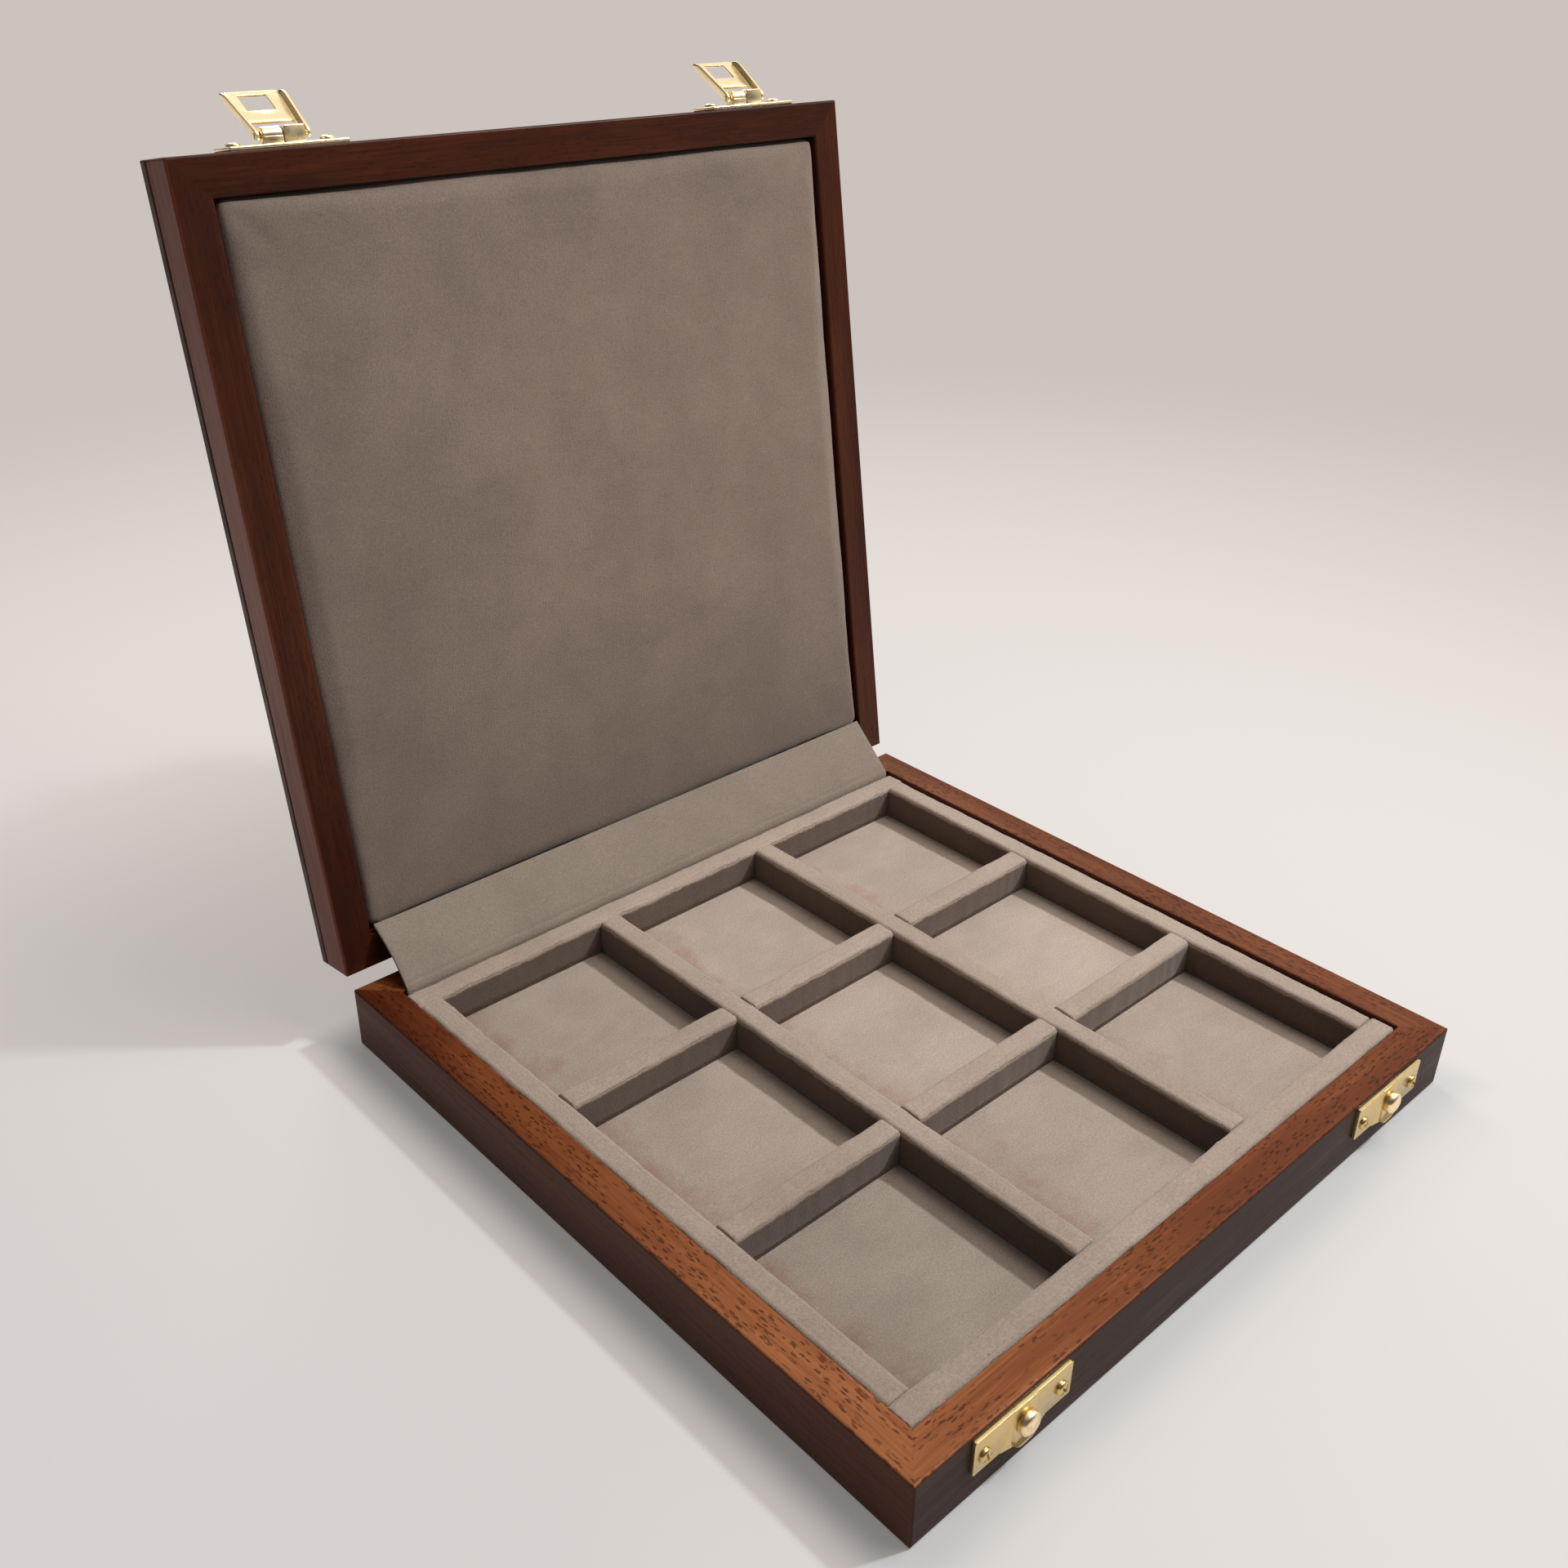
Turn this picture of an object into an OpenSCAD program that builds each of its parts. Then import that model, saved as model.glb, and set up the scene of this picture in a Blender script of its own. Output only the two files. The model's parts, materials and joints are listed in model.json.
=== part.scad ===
// Hinged hardwood watch box: nine velvet compartments, a cushioned lid standing open,
// two brass hasp catches in front and two brass stop hinges behind.
// Origin: centre of the underside. +X right along the front, +Y to the hinge side, +Z up.
// Lid parts are drawn shut and turned open about the hinge pin.

/* [Box] */
// Width of the box, left to right
box_w = 250; // [220:1:320]
// Depth of the box, front to back
box_d = 250; // [220:1:320]
// Height of the base rails
base_h = 22; // [21:0.5:40]
// Height of the lid rails, without the top board
lid_rail_h = 13; // [13:0.5:24]
// Thickness of all eight rails
rail_t = 11.5; // [10:0.5:15]
// Rounding of the long edges of the rails
edge_r = 0.8; // [0.4:0.1:1.2]
// Thickness of the board under the base
base_board_t = 4; // [3:0.5:5]
// Width of the ledge that holds the base board
ledge_w = 5; // [3:0.5:6]
// Thickness of the board on top of the lid
lid_board_t = 4; // [3:0.5:6]
// Gap between the two rims when the box is shut
lid_gap = 0.3; // [0.3:0.05:1]
// How far the lid is turned open
lid_open = 98.7; // [92:0.1:106]

/* [Tray] */
// Width of the padded strips and dividers
strip_w = 8.4; // [6:0.2:11]
// How far the tops of the strips lie below the rim
tray_drop = 1; // [1:0.1:3]
// Rounding of the tops of the strips
strip_r = 2; // [1:0.1:2.6]
// Thickness of the card under the tray
card_t = 3.2; // [2:0.1:4]
// Thickness of the padded velvet floor
floor_t = 1.3; // [1:0.1:3]
// Gap between the tray and the rails beside it
tray_gap = 0.4; // [0.2:0.1:1]

/* [Lid cushion] */
// How far the face of the cushion lies behind the lid rim
pad_drop = 1.5; // [1.2:0.1:3]
// Gap between the cushion and the rails at its sides
pad_gap = 2; // [0.8:0.1:3]
// Gap between the cushion and the rail at the free edge of the lid
pad_front_gap = 3; // [0.8:0.1:4]
// Gap between the cushion and the rail on the hinge side
pad_hinge_gap = 2.5; // [2:0.1:5]
// Thickness of the card that carries the cushion
pad_card_t = 2; // [1:0.5:3]
// Rounding of the cushion
pad_r = 3; // [1:0.5:4]

/* [Hinge cover] */
// How far the free edge of the hinge cover reaches past the rail of the lid
flap_reach = 2.3; // [1.8:0.1:2.6]
// How far the free edge of the hinge cover tucks behind the lid rim
flap_tuck = 0.6; // [0.2:0.1:0.8]
// Thickness of the hinge cover
flap_t = 1.2; // [0.8:0.1:1.2]
// Gap between the hinge cover and the rails at its ends
flap_end_gap = 1; // [0.5:0.1:3]
// Thickness of the hem glued to the back rail
hem_t = 1; // [0.6:0.1:1.5]

/* [Hinges] */
// Length of each hinge
hinge_l = 30; // [24:1:50]
// Distance from the middle of each hinge to the nearer side of the box
hinge_in = 50; // [37:1:70]
// Depth of the hinge leaves in the rails
leaf_w = 8; // [6.5:0.5:9]
// Thickness of the hinge leaves
leaf_t = 1.2; // [1:0.1:1.6]
// Radius of the hinge knuckles
knuckle_r = 2.4; // [2:0.1:3]
// Radius of the hinge pins
hinge_pin_r = 1; // [0.8:0.1:1.2]
// Gap between the knuckles and the back of the box
knuckle_gap = 0.35; // [0.3:0.05:1]
// Length of the stop lugs behind the knuckles
lug_l = 2.6; // [1.5:0.1:4]

/* [Catches] */
// Distance from the middle of each catch to the nearer side of the box
catch_in = 38; // [25:1:60]
// Length of the catch plates
plate_l = 36.6; // [33.4:0.2:44]
// Height of the catch plates
plate_h = 11; // [10:0.2:12]
// Thickness of the catch plates
plate_t = 1.2; // [0.8:0.1:1.6]
// Distance from the rims to the catch plates
plate_set = 1.7; // [1:0.1:2]
// Distance from the middle of a plate to each of its screws
plate_screw_x = 14.4; // [12.4:0.2:16]
// Distance from the rims to the plate screws
plate_screw_z = 8; // [6.5:0.1:9]
// Radius of the plate screw heads
screw_head_r = 2.1; // [1.8:0.1:2.6]
// Height of the plate screw heads
screw_head_h = 1.1; // [0.8:0.1:1.6]
// Radius of the screw shanks
shank_r = 1.2; // [0.9:0.1:1.4]
// Length of the screws in the wood
screw_l = 7; // [5:0.5:8]
// Distance of the stud from the base rim
stud_set = 7; // [6.5:0.1:7.4]
// Radius of the domed stud
stud_r = 3; // [2.5:0.1:3]
// Radius of the neck of the stud
stud_neck_r = 2; // [1.5:0.1:2.3]
// Radius of the rounded lobe under the stud
lobe_r = 5.8; // [5.6:0.1:6]
// How far the lobe lies below the stud
lobe_drop = 0.8; // [0.6:0.1:1]
// Distance of the hasp pin from the lid rim
hasp_pin_set = 7.1; // [6.8:0.1:7.4]
// Distance of the hasp pin from the face of the rail
hasp_pin_out = 3.5; // [3.4:0.1:4]
// Radius of the hasp pin
hasp_pin_r = 0.8; // [0.6:0.1:1]
// Half width of a hasp at its pin
hasp_half_w = 8.3; // [7.8:0.1:10]
// How much wider each side of a hasp is at its tip
hasp_flare = 1.5; // [0:0.1:2]
// Thickness of the hasp sheet
hasp_t = 0.9; // [0.6:0.1:1.1]
// Depth of the folded sides of a hasp
hasp_side = 2.2; // [1.4:0.1:2.2]
// Half width of the window in a hasp
window_half_w = 4.4; // [3.8:0.1:5]
// Height of the window in a hasp
window_h = 6.8; // [6.8:0.1:7.6]
// Width of the bar at the tip of a hasp
tip_bar = 1.6; // [1.2:0.1:2.4]
// Width of the bar between the window and the pin
cross_bar = 4.8; // [3.6:0.1:5]
// How far the hasps are swung open
hasp_open = 140; // [120:1:150]

/* [Hidden] */

$fn = 48;
cut = 1;              // how far a cutter runs past the surface it cuts
fixed_fit = 0.02;     // radial room where a pin or rivet is held fast
running_fit = 0.05;   // radial room where a part turns on its pin
pilot_fit = 0.05;     // radial room of a screw in its pilot hole
seat_gap = 0.1;       // room round a leaf in its mortise
hem_gap = 0.2;        // room between the hem and the back of the tray
swing_gap = 0.3;      // room between parts that pass each other
stop_gap = 0.05;      // room left between the stop lugs with the lid open
wood = "#7d3f22";
velvet = "#a79a8b";
card = "#8c8478";
brass = "#d8b455";

// Base heights and tray
inner_w = box_w - 2 * rail_t;
inner_d = box_d - 2 * rail_t;
card_z = base_board_t;
floor_z = card_z + card_t;
strip_z = floor_z + floor_t;
strip_top = base_h - tray_drop;
strip_h = strip_top - strip_z;
tray_w = inner_w - 2 * tray_gap;
tray_y0 = -inner_d / 2 + tray_gap;
tray_y1 = inner_d / 2 - hem_t - hem_gap;
tray_d = tray_y1 - tray_y0;
cell_w = (tray_w - 4 * strip_w) / 3;
cell_d = (tray_d - 4 * strip_w) / 3;

// Hinges and catches, right of the middle
hinge_x = box_w / 2 - hinge_in;
knuckle_l = hinge_l / 3;
lug_t = 1.2;          // thickness of the stop lugs
lug_half_l = knuckle_l / 2 - swing_gap;
leaf_screw_r = 0.9;
leaf_head_r = 1.8;
leaf_head_h = 0.9;
leaf_slot_w = 0.5;
leaf_slot_d = 0.4;
leaf_screw_x = hinge_l / 2 - 5;
leaf_screw_y = box_d / 2 - leaf_w / 2;
pilot_end = 0.5;      // room past the point of a screw
pin_head_l = 0.6;
pin_head_rim = 0.5;
catch_x = box_w / 2 - catch_in;

// Lid, drawn shut
rim_z = base_h + lid_gap;
board_z = rim_z + lid_rail_h;
pin_y = box_d / 2 + knuckle_gap + knuckle_r;
pin_z = base_h + lid_gap / 2;
pad_w = inner_w - 2 * pad_gap;
pad_y0 = -inner_d / 2 + pad_front_gap;
pad_y1 = inner_d / 2 - pad_hinge_gap;
pad_z = rim_z + pad_drop;
pad_h = lid_rail_h - pad_drop - pad_card_t;

// Hinge cover and its crease
flap_rest = 0.4;      // how far the cover lies above the back strip when the box is shut
crease_z = strip_top + flap_rest + flap_t / 2;
crease_y = inner_d / 2 - swing_gap - flap_t / 2;
flap_w = inner_w - 2 * flap_end_gap;
hem_top = crease_z - flap_t / 2 - swing_gap;
tip_from_pin = box_d / 2 - pin_y - rail_t - flap_reach;
tip_y = pin_y + tip_from_pin * cos(lid_open) + flap_tuck * sin(lid_open);
tip_z = pin_z - tip_from_pin * sin(lid_open) + flap_tuck * cos(lid_open);
flap_l = norm([tip_y - crease_y, tip_z - crease_z]);
flap_rise = atan2(tip_z - crease_z, tip_y - crease_y);

// Catches
face_y = -box_d / 2;
stud_z = base_h - stud_set;
hasp_pin_z = rim_z + hasp_pin_set;
reach = hasp_pin_z - stud_z;
window_u0 = reach - window_h / 2;
window_u1 = reach + window_h / 2;
hasp_l = window_u1 + tip_bar;
slot_u = window_u0 - cross_bar;
sheet_in = 0.3;       // how far the sheet of a shut hasp stands out from its pin
hasp_pin_end = 0.4;   // how far the hasp pin stands out of each ear
plate_corner_r = 0.6;
screw_slot_w = 0.7;
screw_slot_d = 0.6;
barrel_r = hasp_pin_out - plate_t;
ear_r = barrel_r - swing_gap;
barrel_end_gap = 1;   // room between the barrel and the ears
barrel_half_w = hasp_half_w - hasp_t - barrel_end_gap;
barrel_slit = 0.4;    // gap between the round and the square half of the barrel
tip_r = 1.2;          // rounding of the corners at the tip of a hasp
stud_out = 4.9;       // how far the stud stands out from the rail
stud_seat = 1;        // length of the neck between the plate and the dome
collar = 0.5;         // width of the collar at the foot of the neck
stud_shank_r = stud_neck_r - collar;
stud_shank_l = 2;     // length of the shank behind the plate
stud_hole = stud_shank_l + pilot_end;

// ---- helpers ----

// Rectangle with rounded corners
module soft_rect(w, h, r) {
    translate([r, 0]) square([w - 2 * r, h]);
    translate([0, r]) square([w, h - 2 * r]);
    for (x = [r, w - r], y = [r, h - r])
        translate([x, y]) circle(r, $fn = 24);
}

// Outline of the whole box with its upright corners rounded, as a tall prism
module box_prism(z0, z1) {
    translate([-box_w / 2, -box_d / 2, z0])
        linear_extrude(z1 - z0) soft_rect(box_w, box_d, edge_r);
}

// Rail along X at the front, with its long edges rounded and its ends mitred
module front_bar(z0, h) {
    intersection() {
        translate([-box_w / 2, -box_d / 2, z0])
            rotate([90, 0, 90]) linear_extrude(box_w) soft_rect(rail_t, h, edge_r);
        translate([0, 0, z0 - cut]) linear_extrude(h + 2 * cut)
            polygon([[-box_w / 2, -box_d / 2], [box_w / 2, -box_d / 2],
                     [inner_w / 2, -inner_d / 2], [-inner_w / 2, -inner_d / 2]]);
        box_prism(z0 - cut, z0 + h + cut);
    }
}

// Rail along Y at the right, with its long edges rounded and its ends mitred
module right_bar(z0, h) {
    intersection() {
        translate([box_w / 2 - rail_t, box_d / 2, z0])
            rotate([90, 0, 0]) linear_extrude(box_d) soft_rect(rail_t, h, edge_r);
        translate([0, 0, z0 - cut]) linear_extrude(h + 2 * cut)
            polygon([[box_w / 2, -box_d / 2], [box_w / 2, box_d / 2],
                     [inner_w / 2, inner_d / 2], [inner_w / 2, -inner_d / 2]]);
        box_prism(z0 - cut, z0 + h + cut);
    }
}

module back_bar(z0, h) { mirror([0, 1, 0]) front_bar(z0, h); }
module left_bar(z0, h) { mirror([1, 0, 0]) right_bar(z0, h); }

// Turns lid parts from shut to open about the hinge pin
module opened() {
    translate([0, pin_y, pin_z]) rotate([-lid_open, 0, 0]) translate([0, -pin_y, -pin_z])
        children();
}

// Copies to both sides of the box, at distance x from the middle
module both_sides(x) {
    for (s = [-1, 1]) translate([s * x, 0, 0]) children();
}

// Places a part at x, left or right of the middle
module at(x) { translate([x, 0, 0]) children(); }

// Cylinder along X, centred on its length
module x_rod(r, l) { rotate([0, 90, 0]) cylinder(r = r, h = l, center = true); }

// Cylinder from the face of the front rails, pointing out of the box
module face_rod(r, z, out0, out1) {
    translate([0, face_y - out0, z]) rotate([90, 0, 0]) cylinder(r = r, h = out1 - out0);
}

// ---- base ----

// Room for the board under the base
module board_recess() {
    translate([-inner_w / 2 - ledge_w, -inner_d / 2 - ledge_w, -cut])
        cube([inner_w + 2 * ledge_w, inner_d + 2 * ledge_w, base_board_t + cut]);
}

module base_front_rail() color(wood) difference() {
    front_bar(0, base_h);
    board_recess();
    both_sides(catch_x) {
        face_rod(stud_shank_r + fixed_fit, stud_z, -stud_hole, cut);
        screw_pilots(base_h - plate_screw_z);
    }
}

module base_back_rail() color(wood) difference() {
    back_bar(0, base_h);
    board_recess();
    both_sides(hinge_x) {
        leaf_mortise(base_h - leaf_t, leaf_t + cut);
        leaf_pilots(base_h - leaf_t, -1);
    }
}

module base_right_rail() color(wood) difference() {
    right_bar(0, base_h);
    board_recess();
}

module base_left_rail() mirror([1, 0, 0]) base_right_rail();

module base_board() color(wood)
    translate([-inner_w / 2 - ledge_w + seat_gap, -inner_d / 2 - ledge_w + seat_gap, 0])
        cube([inner_w + 2 * (ledge_w - seat_gap), inner_d + 2 * (ledge_w - seat_gap), base_board_t]);

// ---- tray ----

module tray_sheet(z, t) {
    translate([-tray_w / 2, tray_y0, z]) cube([tray_w, tray_d, t]);
}

// Padded strip of the given length along X, with a rounded top; starts at the origin
module strip(l) {
    rotate([90, 0, 90]) linear_extrude(l) {
        square([strip_w, strip_h - strip_r]);
        translate([strip_r, 0]) square([strip_w - 2 * strip_r, strip_h]);
        for (y = [strip_r, strip_w - strip_r])
            translate([y, strip_h - strip_r]) circle(strip_r, $fn = 32);
    }
}

// Strip along X from x0, its front face at y
module strip_x(x0, y, l) color(velvet) translate([x0, y, strip_z]) strip(l);

// Strip along Y from y0, its left face at x
module strip_y(x, y0, l) color(velvet)
    translate([x + strip_w, y0, strip_z]) rotate([0, 0, 90]) strip(l);

// Left face of column divider i, and front face of row divider j
function column_x(i) = -tray_w / 2 + i * (cell_w + strip_w);
function row_y(j) = tray_y0 + j * (cell_d + strip_w);

// Strip along Y on column line i, between the front and back strips
module side_strip(i)
    strip_y(column_x(i), tray_y0 + strip_w, tray_d - 2 * strip_w);

module short_divider(column, row)
    strip_x(column_x(column) + strip_w, row_y(row), cell_w);

module cover_hem() color(velvet)
    translate([-flap_w / 2, inner_d / 2 - hem_t, card_z])
        cube([flap_w, hem_t, hem_top - card_z]);

// ---- hinges ----

// Mortise for a hinge leaf in a back rail
module leaf_mortise(z, h) {
    translate([-hinge_l / 2 - seat_gap, box_d / 2 - leaf_w - seat_gap, z])
        cube([hinge_l + 2 * seat_gap, leaf_w + seat_gap + cut, h]);
}

// Pilot holes for the leaf screws, running from z into the rail in direction dir
module leaf_pilots(z, dir) {
    for (x = [-leaf_screw_x, leaf_screw_x])
        translate([x, leaf_screw_y, dir < 0 ? z - screw_l : z - cut])
            cylinder(r = leaf_screw_r + pilot_fit, h = screw_l + cut);
}

// Countersunk screw with its flat head at z = 0, pointing down
module leaf_screw() {
    difference() {
        union() {
            translate([0, 0, -leaf_head_h])
                cylinder(r1 = leaf_screw_r, r2 = leaf_head_r, h = leaf_head_h, $fn = 32);
            translate([0, 0, -leaf_t - screw_l + pilot_end])
                cylinder(r = leaf_screw_r, h = screw_l + leaf_t - pilot_end - leaf_head_h / 2);
        }
        translate([-leaf_head_r - cut, -leaf_slot_w / 2, -leaf_slot_d])
            cube([2 * (leaf_head_r + cut), leaf_slot_w, leaf_slot_d + cut]);
    }
}

// Leaf lying flat with its top at z = 0, countersunk for its screws
module leaf_plate() {
    difference() {
        translate([-hinge_l / 2, box_d / 2 - leaf_w, -leaf_t])
            cube([hinge_l, pin_y - box_d / 2 + leaf_w, leaf_t]);
        for (x = [-leaf_screw_x, leaf_screw_x]) translate([x, leaf_screw_y, 0]) {
            translate([0, 0, -leaf_t - cut]) cylinder(r = leaf_screw_r + pilot_fit, h = leaf_t + 2 * cut);
            translate([0, 0, -leaf_head_h - pilot_fit])
                cylinder(r1 = leaf_screw_r + pilot_fit, r2 = leaf_head_r + 2 * pilot_fit,
                         h = leaf_head_h + 2 * pilot_fit, $fn = 32);
        }
    }
}

// Space swept by the other leaf's knuckles
module knuckle_clearance(x0, x1) {
    translate([(x0 + x1) / 2, pin_y, pin_z]) x_rod(knuckle_r + swing_gap, x1 - x0);
}

module hinge_base_leaf() color(brass) difference() {
    union() {
        difference() {
            union() {
                translate([0, 0, base_h]) leaf_plate();
                translate([-hinge_l / 2, pin_y, pin_z - lug_t / 2 - stop_gap - lug_t])
                    cube([hinge_l, knuckle_r + lug_l, lug_t]);
            }
            knuckle_clearance(-knuckle_l / 2 - swing_gap / 2, knuckle_l / 2 + swing_gap / 2);
        }
        for (s = [-1, 1]) translate([s * knuckle_l, pin_y, pin_z])
            x_rod(knuckle_r, knuckle_l - swing_gap);
    }
    translate([0, pin_y, pin_z]) x_rod(hinge_pin_r + fixed_fit, hinge_l + 2 * cut);
}

module hinge_lid_leaf() color(brass) difference() {
    union() {
        difference() {
            translate([0, 0, rim_z]) mirror([0, 0, 1]) leaf_plate();
            knuckle_clearance(-hinge_l / 2 - cut, -knuckle_l / 2 + swing_gap / 2);
            knuckle_clearance(knuckle_l / 2 - swing_gap / 2, hinge_l / 2 + cut);
        }
        translate([0, pin_y, pin_z]) {
            x_rod(knuckle_r, knuckle_l - swing_gap);
            rotate([lid_open, 0, 0]) translate([-lug_half_l, 0, -lug_t / 2])
                cube([2 * lug_half_l, knuckle_r + lug_l, lug_t]);
        }
    }
    translate([0, pin_y, pin_z]) x_rod(hinge_pin_r + running_fit, hinge_l + 2 * cut);
}

module hinge_pin() color(brass) translate([0, pin_y, pin_z]) {
    x_rod(hinge_pin_r, hinge_l);
    for (s = [-1, 1]) translate([s * (hinge_l + pin_head_l) / 2, 0, 0])
        x_rod(hinge_pin_r + pin_head_rim, pin_head_l);
}

module hinge_base_screws() color(brass)
    both_sides(hinge_x) for (x = [-leaf_screw_x, leaf_screw_x])
        translate([x, leaf_screw_y, base_h]) leaf_screw();

module hinge_lid_screws() color(brass)
    both_sides(hinge_x) for (x = [-leaf_screw_x, leaf_screw_x])
        translate([x, leaf_screw_y, rim_z]) mirror([0, 0, 1]) leaf_screw();

// ---- catches ----

// Pilot holes for the two screws of a plate
module screw_pilots(z) {
    for (x = [-plate_screw_x, plate_screw_x])
        translate([x, 0, 0]) face_rod(shank_r + pilot_fit, z, -screw_l - pilot_end, cut);
}

// Domed screw through a plate, with a slot across its head
module plate_screw(z) {
    dome_r = (screw_head_r * screw_head_r + screw_head_h * screw_head_h) / (2 * screw_head_h);
    difference() {
        union() {
            face_rod(shank_r, z, -screw_l, plate_t + screw_head_h / 4);
            intersection() {
                face_rod(screw_head_r, z, plate_t, plate_t + screw_head_h + cut);
                translate([0, face_y - plate_t - screw_head_h + dome_r, z]) sphere(dome_r);
            }
        }
        translate([-screw_head_r - cut, face_y - plate_t - screw_head_h - cut, z - screw_slot_w / 2])
            cube([2 * (screw_head_r + cut), cut + screw_slot_d, screw_slot_w]);
    }
}

module screw_row(z) for (x = [-plate_screw_x, plate_screw_x])
    translate([x, 0, 0]) plate_screw(z);

// Flat plate on the face of a front rail from z0 upwards, drilled for its screws
module face_plate(z0, screw_z) {
    difference() {
        translate([-plate_l / 2, face_y, z0]) rotate([90, 0, 0])
            linear_extrude(plate_t) soft_rect(plate_l, plate_h, plate_corner_r);
        for (x = [-plate_screw_x, plate_screw_x])
            translate([x, 0, 0]) face_rod(shank_r + pilot_fit, screw_z, -cut, plate_t + cut);
    }
}

module catch_plate() color(brass) difference() {
    union() {
        face_plate(base_h - plate_set - plate_h, base_h - plate_screw_z);
        face_rod(lobe_r, stud_z - lobe_drop, 0, plate_t);
    }
    face_rod(stud_shank_r + fixed_fit, stud_z, -cut, plate_t + cut);
}

module catch_stud() color(brass) {
    dome_h = stud_out - plate_t - stud_seat;
    translate([0, face_y - plate_t, stud_z]) rotate([90, 0, 0]) rotate_extrude($fn = 48)
        polygon(concat(
            [[0, -plate_t - stud_shank_l], [stud_shank_r, -plate_t - stud_shank_l],
             [stud_shank_r, 0], [stud_neck_r + collar, 0], [stud_neck_r, collar],
             [stud_neck_r, stud_seat]],
            [for (a = [-20:10:80]) [stud_r * cos(a), stud_seat + dome_h * (1 + 2 * sin(a)) / 3]],
            [[0, stud_seat + dome_h]]));
}

module catch_screws() color(brass)
    both_sides(catch_x) screw_row(base_h - plate_screw_z);

// Plate on the lid with the barrel that holds the hasp pin
module hasp_plate() color(brass) difference() {
    union() {
        face_plate(rim_z + plate_set, rim_z + plate_screw_z);
        translate([0, face_y - hasp_pin_out, hasp_pin_z]) {
            // round half, joined to the plate by a web
            translate([-(barrel_half_w + barrel_slit) / 2, 0, 0])
                x_rod(barrel_r, barrel_half_w - barrel_slit);
            translate([-barrel_half_w, 0, -barrel_r])
                cube([barrel_half_w - barrel_slit, barrel_r, 2 * barrel_r]);
            // square half
            translate([0, -barrel_r, -barrel_r])
                cube([barrel_half_w, 2 * barrel_r, 2 * barrel_r]);
        }
    }
    translate([0, face_y - hasp_pin_out, hasp_pin_z])
        x_rod(hasp_pin_r + fixed_fit, plate_l);
}

module hasp_pin() color(brass)
    translate([0, face_y - hasp_pin_out, hasp_pin_z])
        x_rod(hasp_pin_r, 2 * (hasp_half_w + hasp_pin_end));

module hasp_screws() color(brass)
    both_sides(catch_x) screw_row(rim_z + plate_screw_z);

// Half width of a hasp at distance u from its pin
function hasp_half(u) = hasp_half_w + hasp_flare * u / hasp_l;

// Hasp outline seen from the front, hanging down from the pin, rounded at the tip
module hasp_outline() {
    tip = hasp_half(hasp_l) - tip_r;
    polygon(concat([[hasp_half_w, 0], [-hasp_half_w, 0]],
        [for (a = [180:15:270]) [-tip + tip_r * cos(a), tip_r - hasp_l + tip_r * sin(a)]],
        [for (a = [270:15:360]) [tip + tip_r * cos(a), tip_r - hasp_l + tip_r * sin(a)]]));
}

// Folded side of a hasp, which stops short of the tip
module hasp_edge() {
    end = hasp_l - tip_bar;
    polygon([[hasp_half(0) - hasp_t, 0], [hasp_half(end) - hasp_t, -end],
             [hasp_half(end), -end], [hasp_half(0), 0]]);
}

// Folded sheet hasp, hanging shut from the pin at the origin, with the box at +Y
module hasp_shut() {
    front = -sheet_in - hasp_t;
    back = hasp_side - sheet_in;
    slot_half_w = hasp_half_w - hasp_t;
    difference() {
        union() {
            translate([0, -sheet_in, 0]) rotate([90, 0, 0]) linear_extrude(hasp_t) hasp_outline();
            for (side = [0, 1]) mirror([side, 0, 0]) {
                translate([0, back, 0]) rotate([90, 0, 0])
                    linear_extrude(back - front) hasp_edge();
                translate([hasp_half_w - hasp_t / 2, 0, 0]) {
                    x_rod(ear_r, hasp_t);
                    heel();
                }
            }
        }
        // slot that clears the barrel
        translate([-slot_half_w, front - cut, -slot_u])
            cube([2 * slot_half_w, back - front + 2 * cut, slot_u + cut]);
        // window for the stud
        translate([-window_half_w, front - cut, -window_u1])
            cube([2 * window_half_w, hasp_t + 2 * cut, window_h]);
        x_rod(hasp_pin_r + running_fit, 4 * hasp_half_w);
    }
}

// Heel on an ear that meets the plate when the hasp is fully open
module heel() {
    heel_d = barrel_r - stop_gap;
    rotate([90 + hasp_open, 0, 0]) translate([-hasp_t / 2, 0, -heel_d])
        cube([hasp_t, ear_r / 2, heel_d]);
}

module hasp() color(brass)
    translate([0, face_y - hasp_pin_out, hasp_pin_z]) rotate([-hasp_open, 0, 0]) hasp_shut();

// ---- lid ----

module lid_front_rail() color(wood) difference() {
    front_bar(rim_z, lid_rail_h);
    both_sides(catch_x) screw_pilots(rim_z + plate_screw_z);
}

module lid_back_rail() color(wood) difference() {
    back_bar(rim_z, lid_rail_h);
    both_sides(hinge_x) {
        leaf_mortise(rim_z - cut, leaf_t + cut);
        leaf_pilots(rim_z + leaf_t, 1);
    }
}

module lid_right_rail() color(wood) right_bar(rim_z, lid_rail_h);
module lid_left_rail() color(wood) left_bar(rim_z, lid_rail_h);

module lid_board() color(wood) intersection() {
    translate([-box_w / 2, -box_d / 2, board_z])
        rotate([90, 0, 90]) linear_extrude(box_w) soft_rect(box_d, lid_board_t, edge_r);
    translate([-box_w / 2, box_d / 2, board_z])
        rotate([90, 0, 0]) linear_extrude(box_d) soft_rect(box_w, lid_board_t, edge_r);
    box_prism(board_z - cut, board_z + lid_board_t + cut);
}

module lid_pad_card() color(card)
    translate([-pad_w / 2, pad_y0, board_z - pad_card_t]) cube([pad_w, pad_y1 - pad_y0, pad_card_t]);

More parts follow.
